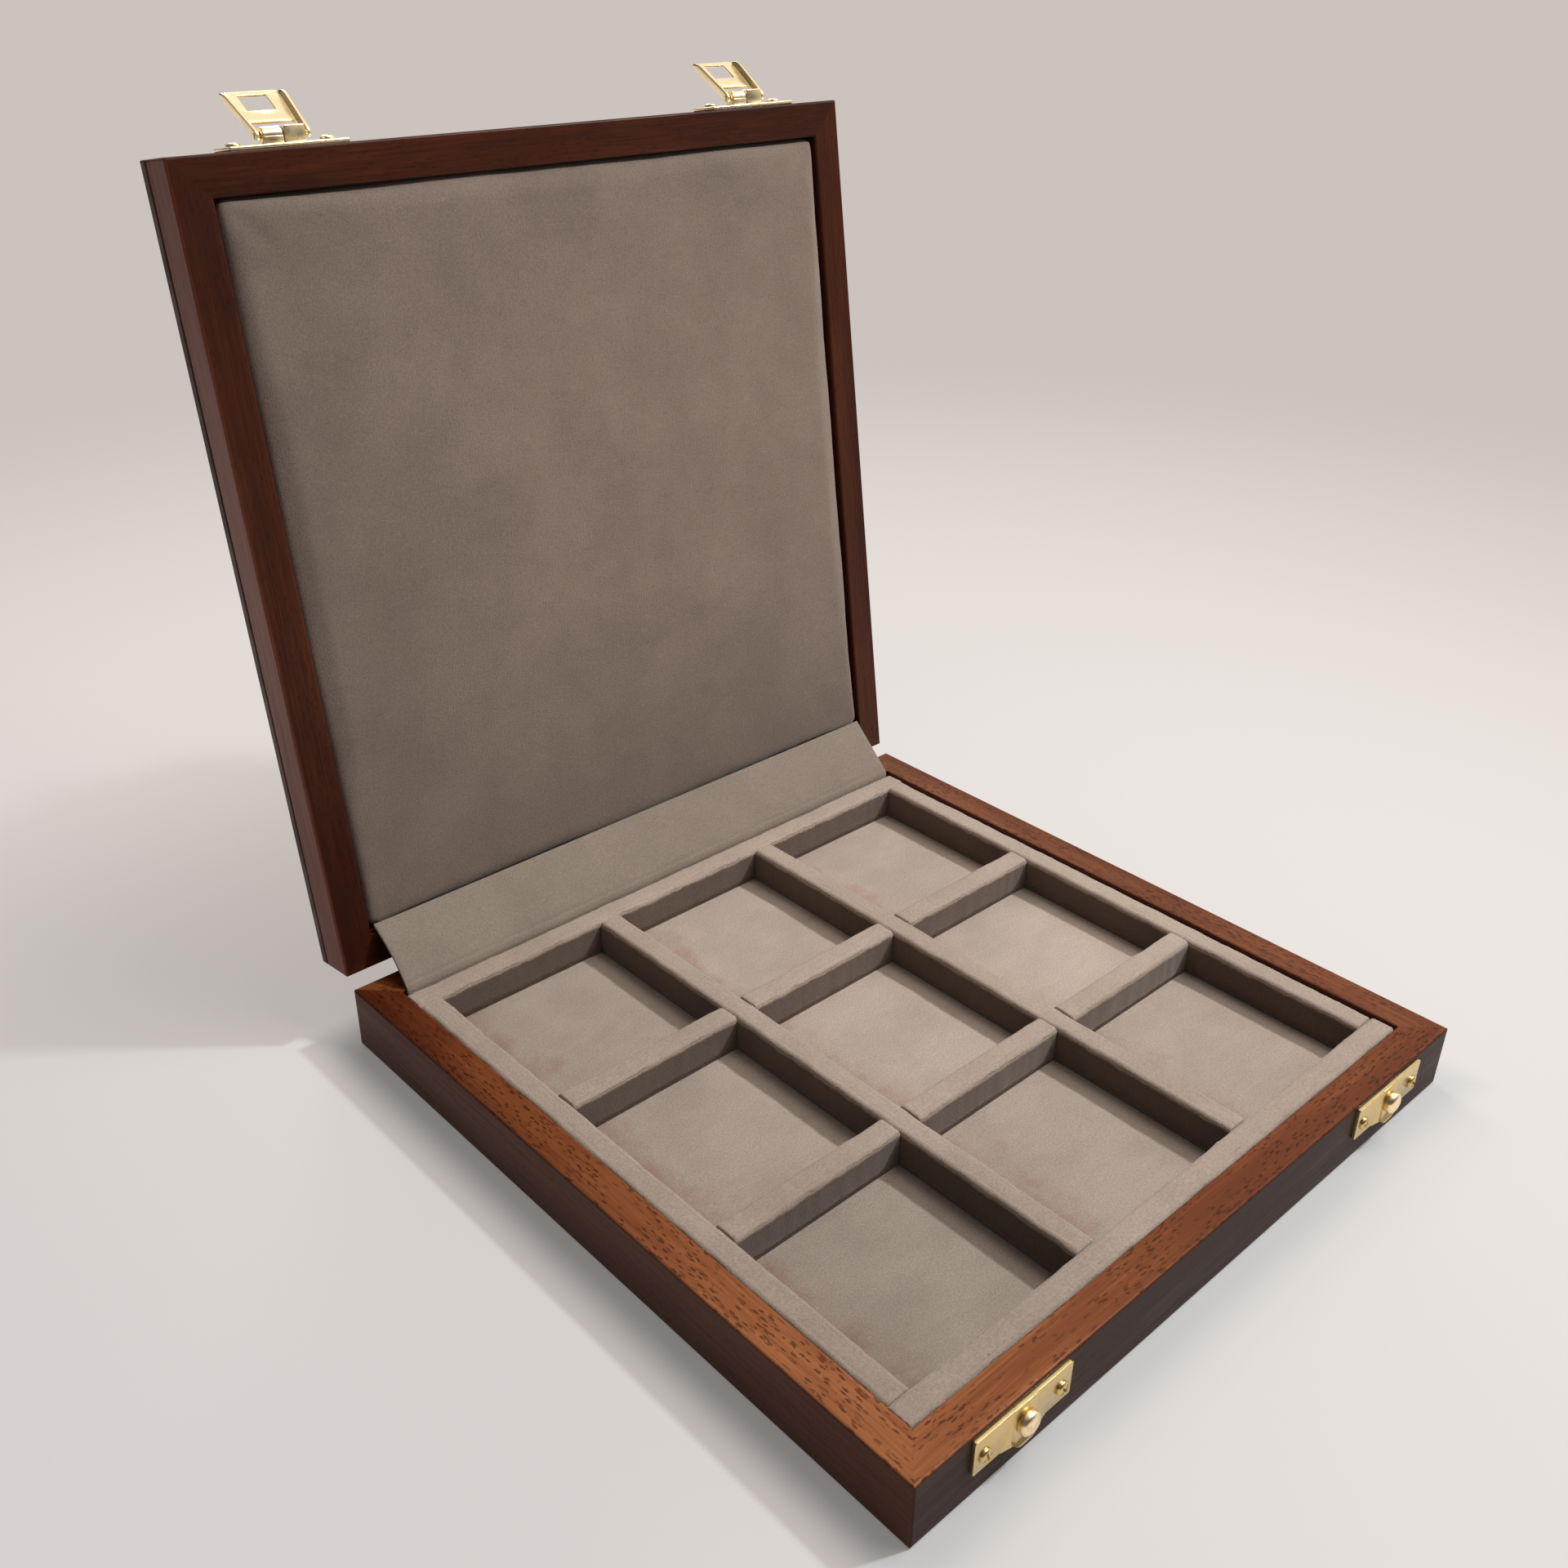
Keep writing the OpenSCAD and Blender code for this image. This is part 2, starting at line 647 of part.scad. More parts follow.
module lid_pad() color(velvet) intersection() {
    translate([-pad_w / 2, pad_y0, pad_z]) rotate([90, 0, 90])
        linear_extrude(pad_w) rounded_below(pad_y1 - pad_y0);
    translate([-pad_w / 2, pad_y1, pad_z]) rotate([90, 0, 0])
        linear_extrude(pad_y1 - pad_y0) rounded_below(pad_w);
}

// Cross-section of the cushion: rounded along the edges that face out of the lid
module rounded_below(w) {
    translate([0, pad_r]) square([w, pad_h - pad_r]);
    translate([pad_r, 0]) square([w - 2 * pad_r, pad_h]);
    for (x = [pad_r, w - pad_r]) translate([x, pad_r]) circle(pad_r, $fn = 32);
}

// ---- hinge cover ----

module hinge_cover() color(velvet)
    translate([-flap_w / 2, crease_y, crease_z]) rotate([90, 0, 90])
        linear_extrude(flap_w) rotate(flap_rise) {
            translate([0, -flap_t / 2]) square([flap_l, flap_t]);
            circle(flap_t / 2, $fn = 32);
            translate([flap_l, 0]) circle(flap_t / 2, $fn = 32);
        }

// ---- the pieces ----

base_front_rail();
base_back_rail();
base_left_rail();
base_right_rail();
base_board();
color(card) tray_sheet(card_z, card_t);  // tray_card
color(velvet) tray_sheet(floor_z, floor_t);  // tray_floor
strip_x(-tray_w / 2, row_y(0), tray_w);  // tray_front_strip
strip_x(-tray_w / 2, row_y(3), tray_w);  // tray_back_strip
side_strip(0);  // tray_left_strip
side_strip(3);  // tray_right_strip
side_strip(1);  // long_divider_left
side_strip(2);  // long_divider_right
short_divider(0, 1);  // short_divider_front_left
short_divider(1, 1);  // short_divider_front_middle
short_divider(2, 1);  // short_divider_front_right
short_divider(0, 2);  // short_divider_back_left
short_divider(1, 2);  // short_divider_back_middle
short_divider(2, 2);  // short_divider_back_right
cover_hem();
at(-catch_x) catch_plate();  // catch_plate_left
at(catch_x) catch_plate();  // catch_plate_right
at(-catch_x) catch_stud();  // catch_stud_left
at(catch_x) catch_stud();  // catch_stud_right
catch_screws();
at(-hinge_x) hinge_base_leaf();  // hinge_base_leaf_left
at(hinge_x) hinge_base_leaf();  // hinge_base_leaf_right
at(-hinge_x) hinge_pin();  // hinge_pin_left
at(hinge_x) hinge_pin();  // hinge_pin_right
hinge_base_screws();
opened() lid_front_rail();
opened() lid_back_rail();
opened() lid_left_rail();
opened() lid_right_rail();
opened() lid_board();
opened() lid_pad_card();
opened() lid_pad();
opened() at(-hinge_x) hinge_lid_leaf();  // hinge_lid_leaf_left
opened() at(hinge_x) hinge_lid_leaf();  // hinge_lid_leaf_right
opened() hinge_lid_screws();
opened() at(-catch_x) hasp_plate();  // hasp_plate_left
opened() at(catch_x) hasp_plate();  // hasp_plate_right
opened() at(-catch_x) hasp_pin();  // hasp_pin_left
opened() at(catch_x) hasp_pin();  // hasp_pin_right
opened() hasp_screws();
hinge_cover();
opened() at(-catch_x) hasp();  // hasp_left
opened() at(catch_x) hasp();  // hasp_right
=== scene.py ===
# %% [markdown]
# # A watch box, finished in Blender
# The box is a shallow hardwood case with a velvet tray of nine square places, a cushioned lid
# that stands open, and small brass catches. Its joinery, hinges and catches come ready made
# as fixed CAD parts. This lesson adds what a CAD model lacks: cloth, padding, grain and polish.
# Lengths are in metres. MM turns millimetres into metres, so the numbers read as on a drawing.

# %% Load the fixed parts
import json
import math

import bmesh
import bpy
from mathutils import Matrix, Vector, noise


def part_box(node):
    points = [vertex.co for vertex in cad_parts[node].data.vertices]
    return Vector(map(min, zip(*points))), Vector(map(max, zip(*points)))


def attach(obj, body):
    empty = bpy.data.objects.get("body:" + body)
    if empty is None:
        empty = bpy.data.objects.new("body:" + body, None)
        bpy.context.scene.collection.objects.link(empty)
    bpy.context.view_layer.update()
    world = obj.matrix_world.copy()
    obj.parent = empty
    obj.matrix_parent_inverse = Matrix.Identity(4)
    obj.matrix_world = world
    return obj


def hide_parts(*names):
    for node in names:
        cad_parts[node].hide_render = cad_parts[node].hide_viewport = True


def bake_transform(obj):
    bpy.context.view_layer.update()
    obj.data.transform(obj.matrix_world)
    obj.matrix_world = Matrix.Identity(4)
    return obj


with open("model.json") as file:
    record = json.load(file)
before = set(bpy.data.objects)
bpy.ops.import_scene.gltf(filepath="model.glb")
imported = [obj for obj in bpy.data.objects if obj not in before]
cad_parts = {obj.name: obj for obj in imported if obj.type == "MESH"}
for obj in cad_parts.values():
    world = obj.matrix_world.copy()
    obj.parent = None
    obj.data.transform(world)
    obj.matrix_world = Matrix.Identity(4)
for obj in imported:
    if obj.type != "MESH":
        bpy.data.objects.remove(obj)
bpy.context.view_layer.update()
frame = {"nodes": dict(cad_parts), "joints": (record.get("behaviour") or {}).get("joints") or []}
nodes = frame["nodes"]
MM = 0.001

# %% [markdown]
# ## The camera
# The box is seen from its front left corner, from above, with a wide lens close by. The
# camera is made first, so that each later step can be judged from the same place. A camera's
# matrix holds its right, up and backward directions in its columns, and its place in the last.

# %% Place the camera
LENS = 36.14
EYE = Vector((-0.307726, -0.272447, 0.332393))
RIGHT = Vector((0.7336568, -0.6793643, 0.0145581))
DOWN = Vector((-0.3213491, -0.3657480, -0.8734776))
FORWARD = Vector((0.5987341, 0.6361545, -0.4866466))
camera_data = bpy.data.cameras.new("box_camera")
camera_data.lens = LENS
camera_data.sensor_width = 36
camera_data.clip_start = 0.01
camera = bpy.data.objects.new("box_camera", camera_data)
bpy.context.scene.collection.objects.link(camera)
turn = Matrix((RIGHT, -DOWN, -FORWARD)).transposed().to_4x4()
camera.matrix_world = Matrix.Translation(EYE) @ turn
bpy.context.scene.camera = camera
print("camera:", LENS, "mm lens,", round(EYE.length / MM), "mm from the base's middle")

# %% [markdown]
# ## Helpers
# Blender's operators act on whatever is selected, so most of these first deselect everything.
# The finished pieces all sit at the origin with their place in their mesh. Then a pattern that
# follows Object coordinates stays where it is on each piece.

# %% Helpers for making pieces
def deselect():
    bpy.ops.object.select_all(action="DESELECT")


def only(piece):
    deselect()
    piece.select_set(True)
    bpy.context.view_layer.objects.active = piece


def newest(name):
    piece = bpy.context.view_layer.objects.active
    piece.name = name
    piece.data.name = name
    return piece


def settle(piece):
    """Moves the object's place, turn and size into its mesh."""
    only(piece)
    bpy.ops.object.transform_apply(location=True, rotation=True, scale=True)
    return piece


def smooth(piece, degrees=None):
    """Shades smooth, all over or only across edges flatter than the angle."""
    only(piece)
    if degrees is None:
        bpy.ops.object.shade_smooth()
    else:
        bpy.ops.object.shade_smooth_by_angle(angle=math.radians(degrees))


def paint(piece, material):
    piece.data.materials.clear()
    piece.data.materials.append(material)


def report(piece):
    print(f"{piece.name}: {len(piece.data.polygons)} faces, "
          f"{[round(d / MM, 1) for d in piece.dimensions]} mm")


# %% Helpers for node trees
def node(tree, kind, **values):
    """A new node, laid out in rows of ten, left of the shader."""
    row, column = divmod(len(tree.nodes), 10)
    made = tree.nodes.new(kind)
    made.location = (220 * column - 2400, -320 * row)
    for key, value in values.items():
        setattr(made, key, value)
    return made


def join(tree, source, target):
    tree.links.new(source, target)


def fill(tree, made, values):
    """Sets each named input to a value, or links it to a socket."""
    for name, value in values.items():
        if hasattr(value, "links"):
            join(tree, value, made.inputs[name])
        elif value is not None:
            made.inputs[name].default_value = value


def new_material(name):
    material = bpy.data.materials.new(name)
    material.use_nodes = True
    tree = material.node_tree
    return material, tree, tree.nodes["Principled BSDF"]


def object_place(tree):
    return node(tree, "ShaderNodeTexCoord").outputs["Object"]


def axes_of(tree, place):
    """The X, Y and Z of a place, by name."""
    split = node(tree, "ShaderNodeSeparateXYZ")
    join(tree, place, split.inputs[0])
    return split.outputs


def mix_colour(tree, factor, first, second, blend="MIX"):
    made = node(tree, "ShaderNodeMix", data_type="RGBA", blend_type=blend)
    fill(tree, made, {"Factor": factor, "A": first, "B": second})
    return made.outputs["Result"]


def stretched(tree, source, scale, turn=(0, 0, 0)):
    made = node(tree, "ShaderNodeMapping")
    fill(tree, made, {"Scale": scale, "Rotation": [math.radians(a) for a in turn],
                      "Vector": source})
    return made.outputs["Vector"]


def noise_of(tree, source, scale, detail, rough=0.5):
    made = node(tree, "ShaderNodeTexNoise")
    fill(tree, made, {"Scale": scale, "Detail": detail, "Roughness": rough, "Vector": source})
    return made.outputs["Fac"]


def ranged(tree, source, low, high, to_low=0.0, to_high=1.0):
    """A soft step: to_low at low, to_high at high, and smooth in between."""
    made = node(tree, "ShaderNodeMapRange", interpolation_type="SMOOTHSTEP")
    fill(tree, made, {"From Min": low, "From Max": high, "To Min": to_low, "To Max": to_high,
                      "Value": source})
    return made.outputs["Result"]


def maths(tree, operation, first, second=None, third=None):
    made = node(tree, "ShaderNodeMath", operation=operation)
    fill(tree, made, {0: first, 1: second, 2: third})
    return made.outputs[0]


def bumped(tree, shader, height, strength, distance):
    """Lets a height roughen the surface, by a distance in metres."""
    bump = node(tree, "ShaderNodeBump")
    fill(tree, bump, {"Strength": strength, "Distance": distance, "Height": height})
    join(tree, bump.outputs["Normal"], shader.inputs["Normal"])


FLOAT, COLOUR, VECTOR = "NodeSocketFloat", "NodeSocketColor", "NodeSocketVector"


def new_group(name, inputs, outputs=(("Color", COLOUR),)):
    """A node group with named sockets, and the sockets inside it by name."""
    group = bpy.data.node_groups.new(name, "ShaderNodeTree")
    for way, sockets in (("INPUT", inputs), ("OUTPUT", outputs)):
        for label, kind in sockets:
            group.interface.new_socket(name=label, in_out=way, socket_type=kind)
    return group, node(group, "NodeGroupInput").outputs, node(group, "NodeGroupOutput").inputs


def grouped(tree, group, **values):
    """Places a node group; an underscore in a name stands for a space."""
    made = node(tree, "ShaderNodeGroup", node_tree=group)
    fill(tree, made, {name.replace("_", " "): value for name, value in values.items()})
    return made.outputs


# %% [markdown]
# ## The floor
# The box stands on a pale cloth. The floor is a wide plane, cut into a grid. Near the box it is
# plain and takes the shadow. Farther away it fades into the room's colour, so no horizon shows.
# It is a little darker right beside the box, where two surfaces hide each other from the light.

# %% Lay the floor
FLOOR_SIZE = 60.0
FLOOR_DROP = 0.2 * MM
deselect()
bpy.ops.mesh.primitive_plane_add(size=FLOOR_SIZE, location=(0, 0, -FLOOR_DROP))
floor = newest("floor")
bpy.ops.object.mode_set(mode="EDIT")
bpy.ops.mesh.subdivide(number_cuts=8)
bpy.ops.object.mode_set(mode="OBJECT")
report(floor)

# %% Colour the floor
FLOOR_COLOUR = (0.80, 0.770, 0.750, 1)
FLOOR_GLOW = (0.77, 0.715, 0.675, 1)
ROOM_SEEN = (0.600, 0.545, 0.515, 1)
# Painted shade: the floor is darker right beside the box and towards its left.
CONTACT_SHADE_COLOUR = (0.84, 0.86, 0.88, 1)
LEFT_SHADE_COLOUR = (0.90, 0.91, 0.93, 1)
FADE_START, FADE_END = 0.40, 0.95
CONTACT_START, CONTACT_END = 0.128, 0.143
LEFT_START, LEFT_END = -0.02, -0.34
floor_material, tree, shader = new_material("pale_floor")
place = object_place(tree)
distance = node(tree, "ShaderNodeVectorMath", operation="LENGTH")
join(tree, place, distance.inputs[0])
away = distance.outputs["Value"]
far = ranged(tree, away, FADE_START, FADE_END)
axes = axes_of(tree, place)
sides = [maths(tree, "ABSOLUTE", axes[axis]) for axis in ("X", "Y")]
beside = maths(tree, "MAXIMUM", *sides)
contact = ranged(tree, beside, CONTACT_START, CONTACT_END, 1.0, 0.0)
leftward = ranged(tree, axes["X"], LEFT_START, LEFT_END)


def shaded_floor(near):
    """The colour near the box, with painted shade beside it and to its left, and the room's colour
    far away.
    """
    beside_box = [a * b for a, b in zip(near, CONTACT_SHADE_COLOUR)]
    colour = mix_colour(tree, contact, near, beside_box)
    colour = mix_colour(tree, leftward, colour, LEFT_SHADE_COLOUR, "MULTIPLY")
    return mix_colour(tree, far, colour, ROOM_SEEN)


fill(tree, shader, {"Base Color": shaded_floor(FLOOR_COLOUR), "Roughness": 0.9,
                    "Specular IOR Level": 0.1})
print("floor colour near the box:", FLOOR_COLOUR[:3], "and far away:", ROOM_SEEN[:3])

# %% [markdown]
# ## The floor's own paleness
# Part of the floor's brightness is its own, so that it looks pale without stronger lamps, which
# would bleach the box. Only the camera and mirror-like metal see that part: Light Path tells
# which ray is asking. The rest of the scene is lit by the lamps alone.

# %% Let the floor glow for the camera
OWN_START, OWN_END, OWN_NEAR = 0.17, 0.60, 0.48
# Painted shade: right beside the box the floor keeps less of its own glow.
OWN_LOST_BESIDE = 0.22
EXTRA_IN_METAL = 0.35
glow = node(tree, "ShaderNodeEmission")
seen = node(tree, "ShaderNodeLightPath").outputs
own = ranged(tree, away, OWN_START, OWN_END, OWN_NEAR, 1.0)
own = maths(tree, "MULTIPLY_ADD", contact, -OWN_LOST_BESIDE, own)
asking = maths(tree, "MAXIMUM", seen["Is Camera Ray"], seen["Is Glossy Ray"])
share = maths(tree, "MULTIPLY", asking, own)
fill(tree, glow, {
    "Color": shaded_floor(FLOOR_GLOW),
    "Strength": maths(tree, "MULTIPLY_ADD", seen["Is Glossy Ray"], EXTRA_IN_METAL, 1.0)})
both = node(tree, "ShaderNodeMixShader")
fill(tree, both, {0: share, 1: shader.outputs[0], 2: glow.outputs[0]})
join(tree, both.outputs[0], tree.nodes["Material Output"].inputs["Surface"])
paint(floor, floor_material)
print("floor material:", len(tree.nodes), "nodes")

# %% [markdown]
# ## Lamps
# A small lamp high on the right, a little to the front, throws the clear shadows: the lid's on
# the floor, and the walls' in the tray. A wide, warmer lamp overhead is the ceiling, and one
# behind the box lifts the shadows. A lamp's power grows with the square of its distance.

# %% Hang the lamps
LAMP_AIM = Vector((0, 0, 0.08))


def lamp(name, place, size, power, colour):
    deselect()
    bpy.ops.object.light_add(type="AREA", location=place)
    made = bpy.context.object
    made.name = made.data.name = name
    made.data.shape = "RECTANGLE"
    made.data.size = made.data.size_y = size
    made.data.energy = power
    made.data.color = colour
    made.rotation_euler = (LAMP_AIM - Vector(place)).to_track_quat("-Z", "X").to_euler()


lamp("key_right", (1.05, -0.61, 1.50), 0.11, 21.5, (0.90, 0.96, 1.0))
lamp("ceiling_main", (0.50, -0.40, 1.58), 0.75, 8.5, (1.0, 0.95, 0.90))
lamp("ceiling_back", (0.45, 1.35, 1.30), 0.6, 6.5, (1.0, 0.95, 0.88))

# %% [markdown]
# ## The room's own light
# The rest of the room gives a little light from every side, more from the bright side. Brass
# mirrors the room, so it sees a room with more contrast than the one that lights the wood.
# The camera sees neither, only the plain colour that the floor fades into.

# %% Fill in with the room's own light
ROOM_DARK, ROOM_LIGHT = (0.055, 0.057, 0.062, 1), (0.34, 0.33, 0.32, 1)
GLOSS_DARK, GLOSS_LIGHT = (0.10, 0.095, 0.088, 1), (1.0, 0.96, 0.90, 1)
ROOM_EDGE, GLOSS_EDGE, BRIGHT_EDGE = -0.2, 0.1, 0.9
BRIGHT_SIDE = (0.66, 0.30, 0.69)
world = bpy.data.worlds.new("room")
bpy.context.scene.world = world
world.use_nodes = True
tree = world.node_tree
tree.nodes.clear()
where = node(tree, "ShaderNodeTexCoord")
facing = node(tree, "ShaderNodeVectorMath", operation="DOT_PRODUCT")
fill(tree, facing, {0: where.outputs["Generated"], 1: BRIGHT_SIDE})
rooms = []
for dark, light, edge in ((ROOM_DARK, ROOM_LIGHT, ROOM_EDGE),
                          (GLOSS_DARK, GLOSS_LIGHT, GLOSS_EDGE)):
    fade = ranged(tree, facing.outputs["Value"], edge, BRIGHT_EDGE)
    rooms.append(mix_colour(tree, fade, dark, light))
seen = node(tree, "ShaderNodeLightPath").outputs
lit = mix_colour(tree, seen["Is Glossy Ray"], *rooms)
shown = mix_colour(tree, seen["Is Camera Ray"], lit, ROOM_SEEN)
sky = node(tree, "ShaderNodeBackground")
join(tree, shown, sky.inputs["Color"])
join(tree, sky.outputs[0], node(tree, "ShaderNodeOutputWorld").inputs["Surface"])
bpy.context.scene.view_settings.view_transform = "Standard"
print("room light:", len(tree.nodes), "nodes")

# %% [markdown]
# ## Wood grain
# The rails are a red-brown tropical hardwood under thin varnish. Its open pores show as short
# dark dashes, in slanting groups, over soft bands of lighter and darker wood. All of that is
# one node group, because each rail's material uses it: its Vector input has the grain along X,
# and each material turns the Object coordinates to suit the way its rail runs.

# %% Band the wood
grain, g_in, g_out = new_group(
    "hardwood_grain",
    (("Vector", VECTOR), ("Light Wood", COLOUR), ("Dark Wood", COLOUR), ("Pore", COLOUR),
     ("Pores", FLOAT)),
    (("Color", COLOUR), ("Roughness", FLOAT), ("Height", FLOAT)))
along = g_in["Vector"]
bands = noise_of(grain, stretched(grain, along, (5, 70, 70)), 1, 3)
fibres = noise_of(grain, stretched(grain, along, (45, 1300, 1300)), 1, 2)
cloudy = noise_of(grain, along, 22, 2)
tone = maths(grain, "MULTIPLY_ADD", fibres, 0.35, maths(grain, "MULTIPLY", bands, 0.65))
tone = ranged(grain, tone, 0.36, 0.64)
colour = mix_colour(grain, tone, g_in["Dark Wood"], g_in["Light Wood"])
colour = mix_colour(grain, ranged(grain, cloudy, 0.35, 0.7, 0.0, 0.45), colour, g_in["Dark Wood"])
print("grain so far:", len(grain.nodes), "nodes")

# %% Open the pores
PORE_BEND = 0.0011
bent = node(grain, "ShaderNodeTexNoise")
fill(grain, bent, {"Scale": 500, "Vector": along})
bend = node(grain, "ShaderNodeVectorMath", operation="SCALE")
fill(grain, bend, {0: bent.outputs["Color"], "Scale": PORE_BEND})
wavy = node(grain, "ShaderNodeVectorMath", operation="ADD")
fill(grain, wavy, {0: along, 1: bend.outputs[0]})


def dashes(turn, scale, size, keep):
    """Short dashes: the middles of stretched cells, of which only some are kept."""
    cells = node(grain, "ShaderNodeTexVoronoi")
    fill(grain, cells, {"Scale": 1, "Vector": stretched(grain, wavy.outputs[0], scale, turn)})
    inside = ranged(grain, cells.outputs["Distance"], size, size * 0.55)
    tint = node(grain, "ShaderNodeSeparateColor")
    join(grain, cells.outputs["Color"], tint.inputs["Color"])
    kept = maths(grain, "LESS_THAN", tint.outputs["Red"], keep)
    return maths(grain, "MULTIPLY", inside, kept)


long_pores = dashes((0, 0, 5), (200, 1000, 1000), 0.40, 0.45)
slant_pores = dashes((0, 0, 12), (275, 1050, 1050), 0.44, 0.84)
crowd = noise_of(grain, stretched(grain, along, (55, 150, 150)), 1, 1)
crowd = ranged(grain, crowd, 0.35, 0.50)
slant_pores = maths(grain, "MULTIPLY", slant_pores, crowd)
long_pores = maths(grain, "MULTIPLY", long_pores, 0.6)
pores = maths(grain, "MAXIMUM", long_pores, slant_pores)
pores = maths(grain, "MULTIPLY", pores, g_in["Pores"])
colour = mix_colour(grain, maths(grain, "MULTIPLY", pores, 0.8), colour, g_in["Pore"])
join(grain, colour, g_out["Color"])
join(grain, ranged(grain, tone, 0, 1, 0.50, 0.38), g_out["Roughness"])
raised = maths(grain, "MULTIPLY", fibres, 0.25)
join(grain, maths(grain, "SUBTRACT", raised, pores), g_out["Height"])
print("wood grain group:", len(grain.nodes), "nodes")

# %% [markdown]
# ## Painted light and shade on the wood
# The rails are painted paler near one front corner, as painted light, and duller towards the far
# ends of the rails, as painted shade. The outer sides are painted darker than the tops, as painted
# shade, and the lid's left side lighter, as painted light. Both effects lie over the grain of
# several rails, so each is a group: one works by distance from a point, the other by height.

# %% Build the painted light and shade groups
# Painted light: paler near the front left corner. Painted shade: duller towards the rails' far
# ends.
PALEST_CORNER = Vector((-125, -125, 22)) * MM
LIGHT_EDGE_RAGGED = 60 * MM
PAINTED_LIGHT_PALER = (1.58, 1.88, 2.05, 1)
PAINTED_SHADE_DULLER = (0.50, 0.36, 0.30, 1)
SIDE_PAINT_STEP = 0.5 * MM
corner_light, w_in, w_out = new_group("varnish_wear", (("Vector", VECTOR), ("Color", COLOUR),
                                               ("Faded", FLOAT), ("Dim", FLOAT)))
distance = node(corner_light, "ShaderNodeVectorMath", operation="DISTANCE")
fill(corner_light, distance, {0: w_in["Vector"], 1: PALEST_CORNER})
ragged = maths(corner_light, "MULTIPLY_ADD", noise_of(corner_light, w_in["Vector"], 40, 3),
               LIGHT_EDGE_RAGGED, distance.outputs["Value"])
lit_share = maths(corner_light, "MULTIPLY", ranged(corner_light, ragged, 190 * MM, 60 * MM), w_in["Faded"])
shade_share = maths(corner_light, "MULTIPLY", ranged(corner_light, ragged, 150 * MM, 290 * MM), w_in["Dim"])
paler = mix_colour(corner_light, lit_share, w_in["Color"], PAINTED_LIGHT_PALER, "MULTIPLY")
join(corner_light, mix_colour(corner_light, shade_share, paler, PAINTED_SHADE_DULLER, "MULTIPLY"), w_out["Color"])

# Painted shade: the outer sides are darker than the tops; the lid's left side is painted lighter,
# as painted light.
painted_sides, s_in, s_out = new_group("stained_side", (
    ("Grain", COLOUR), ("Top", COLOUR), ("Light Wood", COLOUR), ("Dark Wood", COLOUR),
    ("Stain", COLOUR), ("Place", FLOAT), ("Edge", FLOAT)))
below = ranged(painted_sides, maths(painted_sides, "SUBTRACT", s_in["Edge"], s_in["Place"]), 0, SIDE_PAINT_STEP)
even = mix_colour(painted_sides, 0.5, s_in["Light Wood"], s_in["Dark Wood"])
side = mix_colour(painted_sides, 0.55, s_in["Grain"], even)
side = mix_colour(painted_sides, 1.0, side, s_in["Stain"], "MULTIPLY")
join(painted_sides, mix_colour(painted_sides, below, s_in["Top"], side), s_out["Color"])
print("wear group:", len(corner_light.nodes), "nodes, stain group:", len(painted_sides.nodes), "nodes")

# %% [markdown]
# ## Varnish
# Each rail gets its own material, so that its grain runs along it and starts at its own place:
# four rails cut from one board would look like copies. The lid's wood is drawn where the lid
# stands open, so its grain is turned by the lid's angle too. A thin coat gives a soft shine.

# %% Mix the varnished wood
LID_OPEN = 98.7
TOP_EDGE, SIDE_EDGE = 21.95 * MM, -124.2 * MM
PAINTED_LIGHT_MOST = 0.9


def wood(name, turn, shift, light, dark, stained_side, side_axis, gloss, far_shade, pores):
    """Varnished wood. far_shade is how much painted shade darkens it far from the front left
    corner; above nought it also adds painted light near that corner.
    """
    material, tree, shader = new_material(name)
    place = object_place(tree)
    turned_place = node(tree, "ShaderNodeMapping")
    fill(tree, turned_place, {"Rotation": [math.radians(a) for a in turn], "Location": shift,
                              "Vector": place})
    body = grouped(tree, grain, Vector=turned_place.outputs["Vector"],
                   Light_Wood=light, Dark_Wood=dark, Pores=pores,
                   Pore=[c * 0.33 for c in dark[:3]] + [1])
    colour = body["Color"]
    if far_shade:
        colour = grouped(tree, corner_light, Vector=place, Color=colour,
                         Faded=PAINTED_LIGHT_MOST, Dim=far_shade)["Color"]
    if stained_side:
        colour = grouped(tree, painted_sides, Grain=body["Color"], Top=colour,
                         Light_Wood=light, Dark_Wood=dark, Stain=stained_side,
                         Place=axes_of(tree, place)[side_axis],
                         Edge=TOP_EDGE if side_axis == "Z" else SIDE_EDGE)["Color"]
    bumped(tree, shader, body["Height"], 0.5, 0.05 * MM)
    fill(tree, shader, {"Base Color": colour, "Roughness": body["Roughness"],
                        "Specular IOR Level": gloss, "Coat Weight": gloss * 0.5,
                        "Coat Roughness": 0.25})
    return material


# %% Varnish each rail
BASE_LIGHT, BASE_DARK = (0.300, 0.090, 0.030, 1), (0.150, 0.038, 0.0125, 1)
LID_LIGHT, LID_DARK = (0.090, 0.0215, 0.0075, 1), (0.036, 0.0080, 0.0034, 1)
# Painted shade on the base's outer sides, and painted light on the lid's left side.
LEFT_SIDE, FRONT_SIDE = (0.46, 0.47, 0.60, 1), (0.20, 0.30, 0.60, 1)
LID_SIDE = (3.3, 3.6, 5.0, 1)
BASE_PORES, LID_PORES = 1.0, 0.4
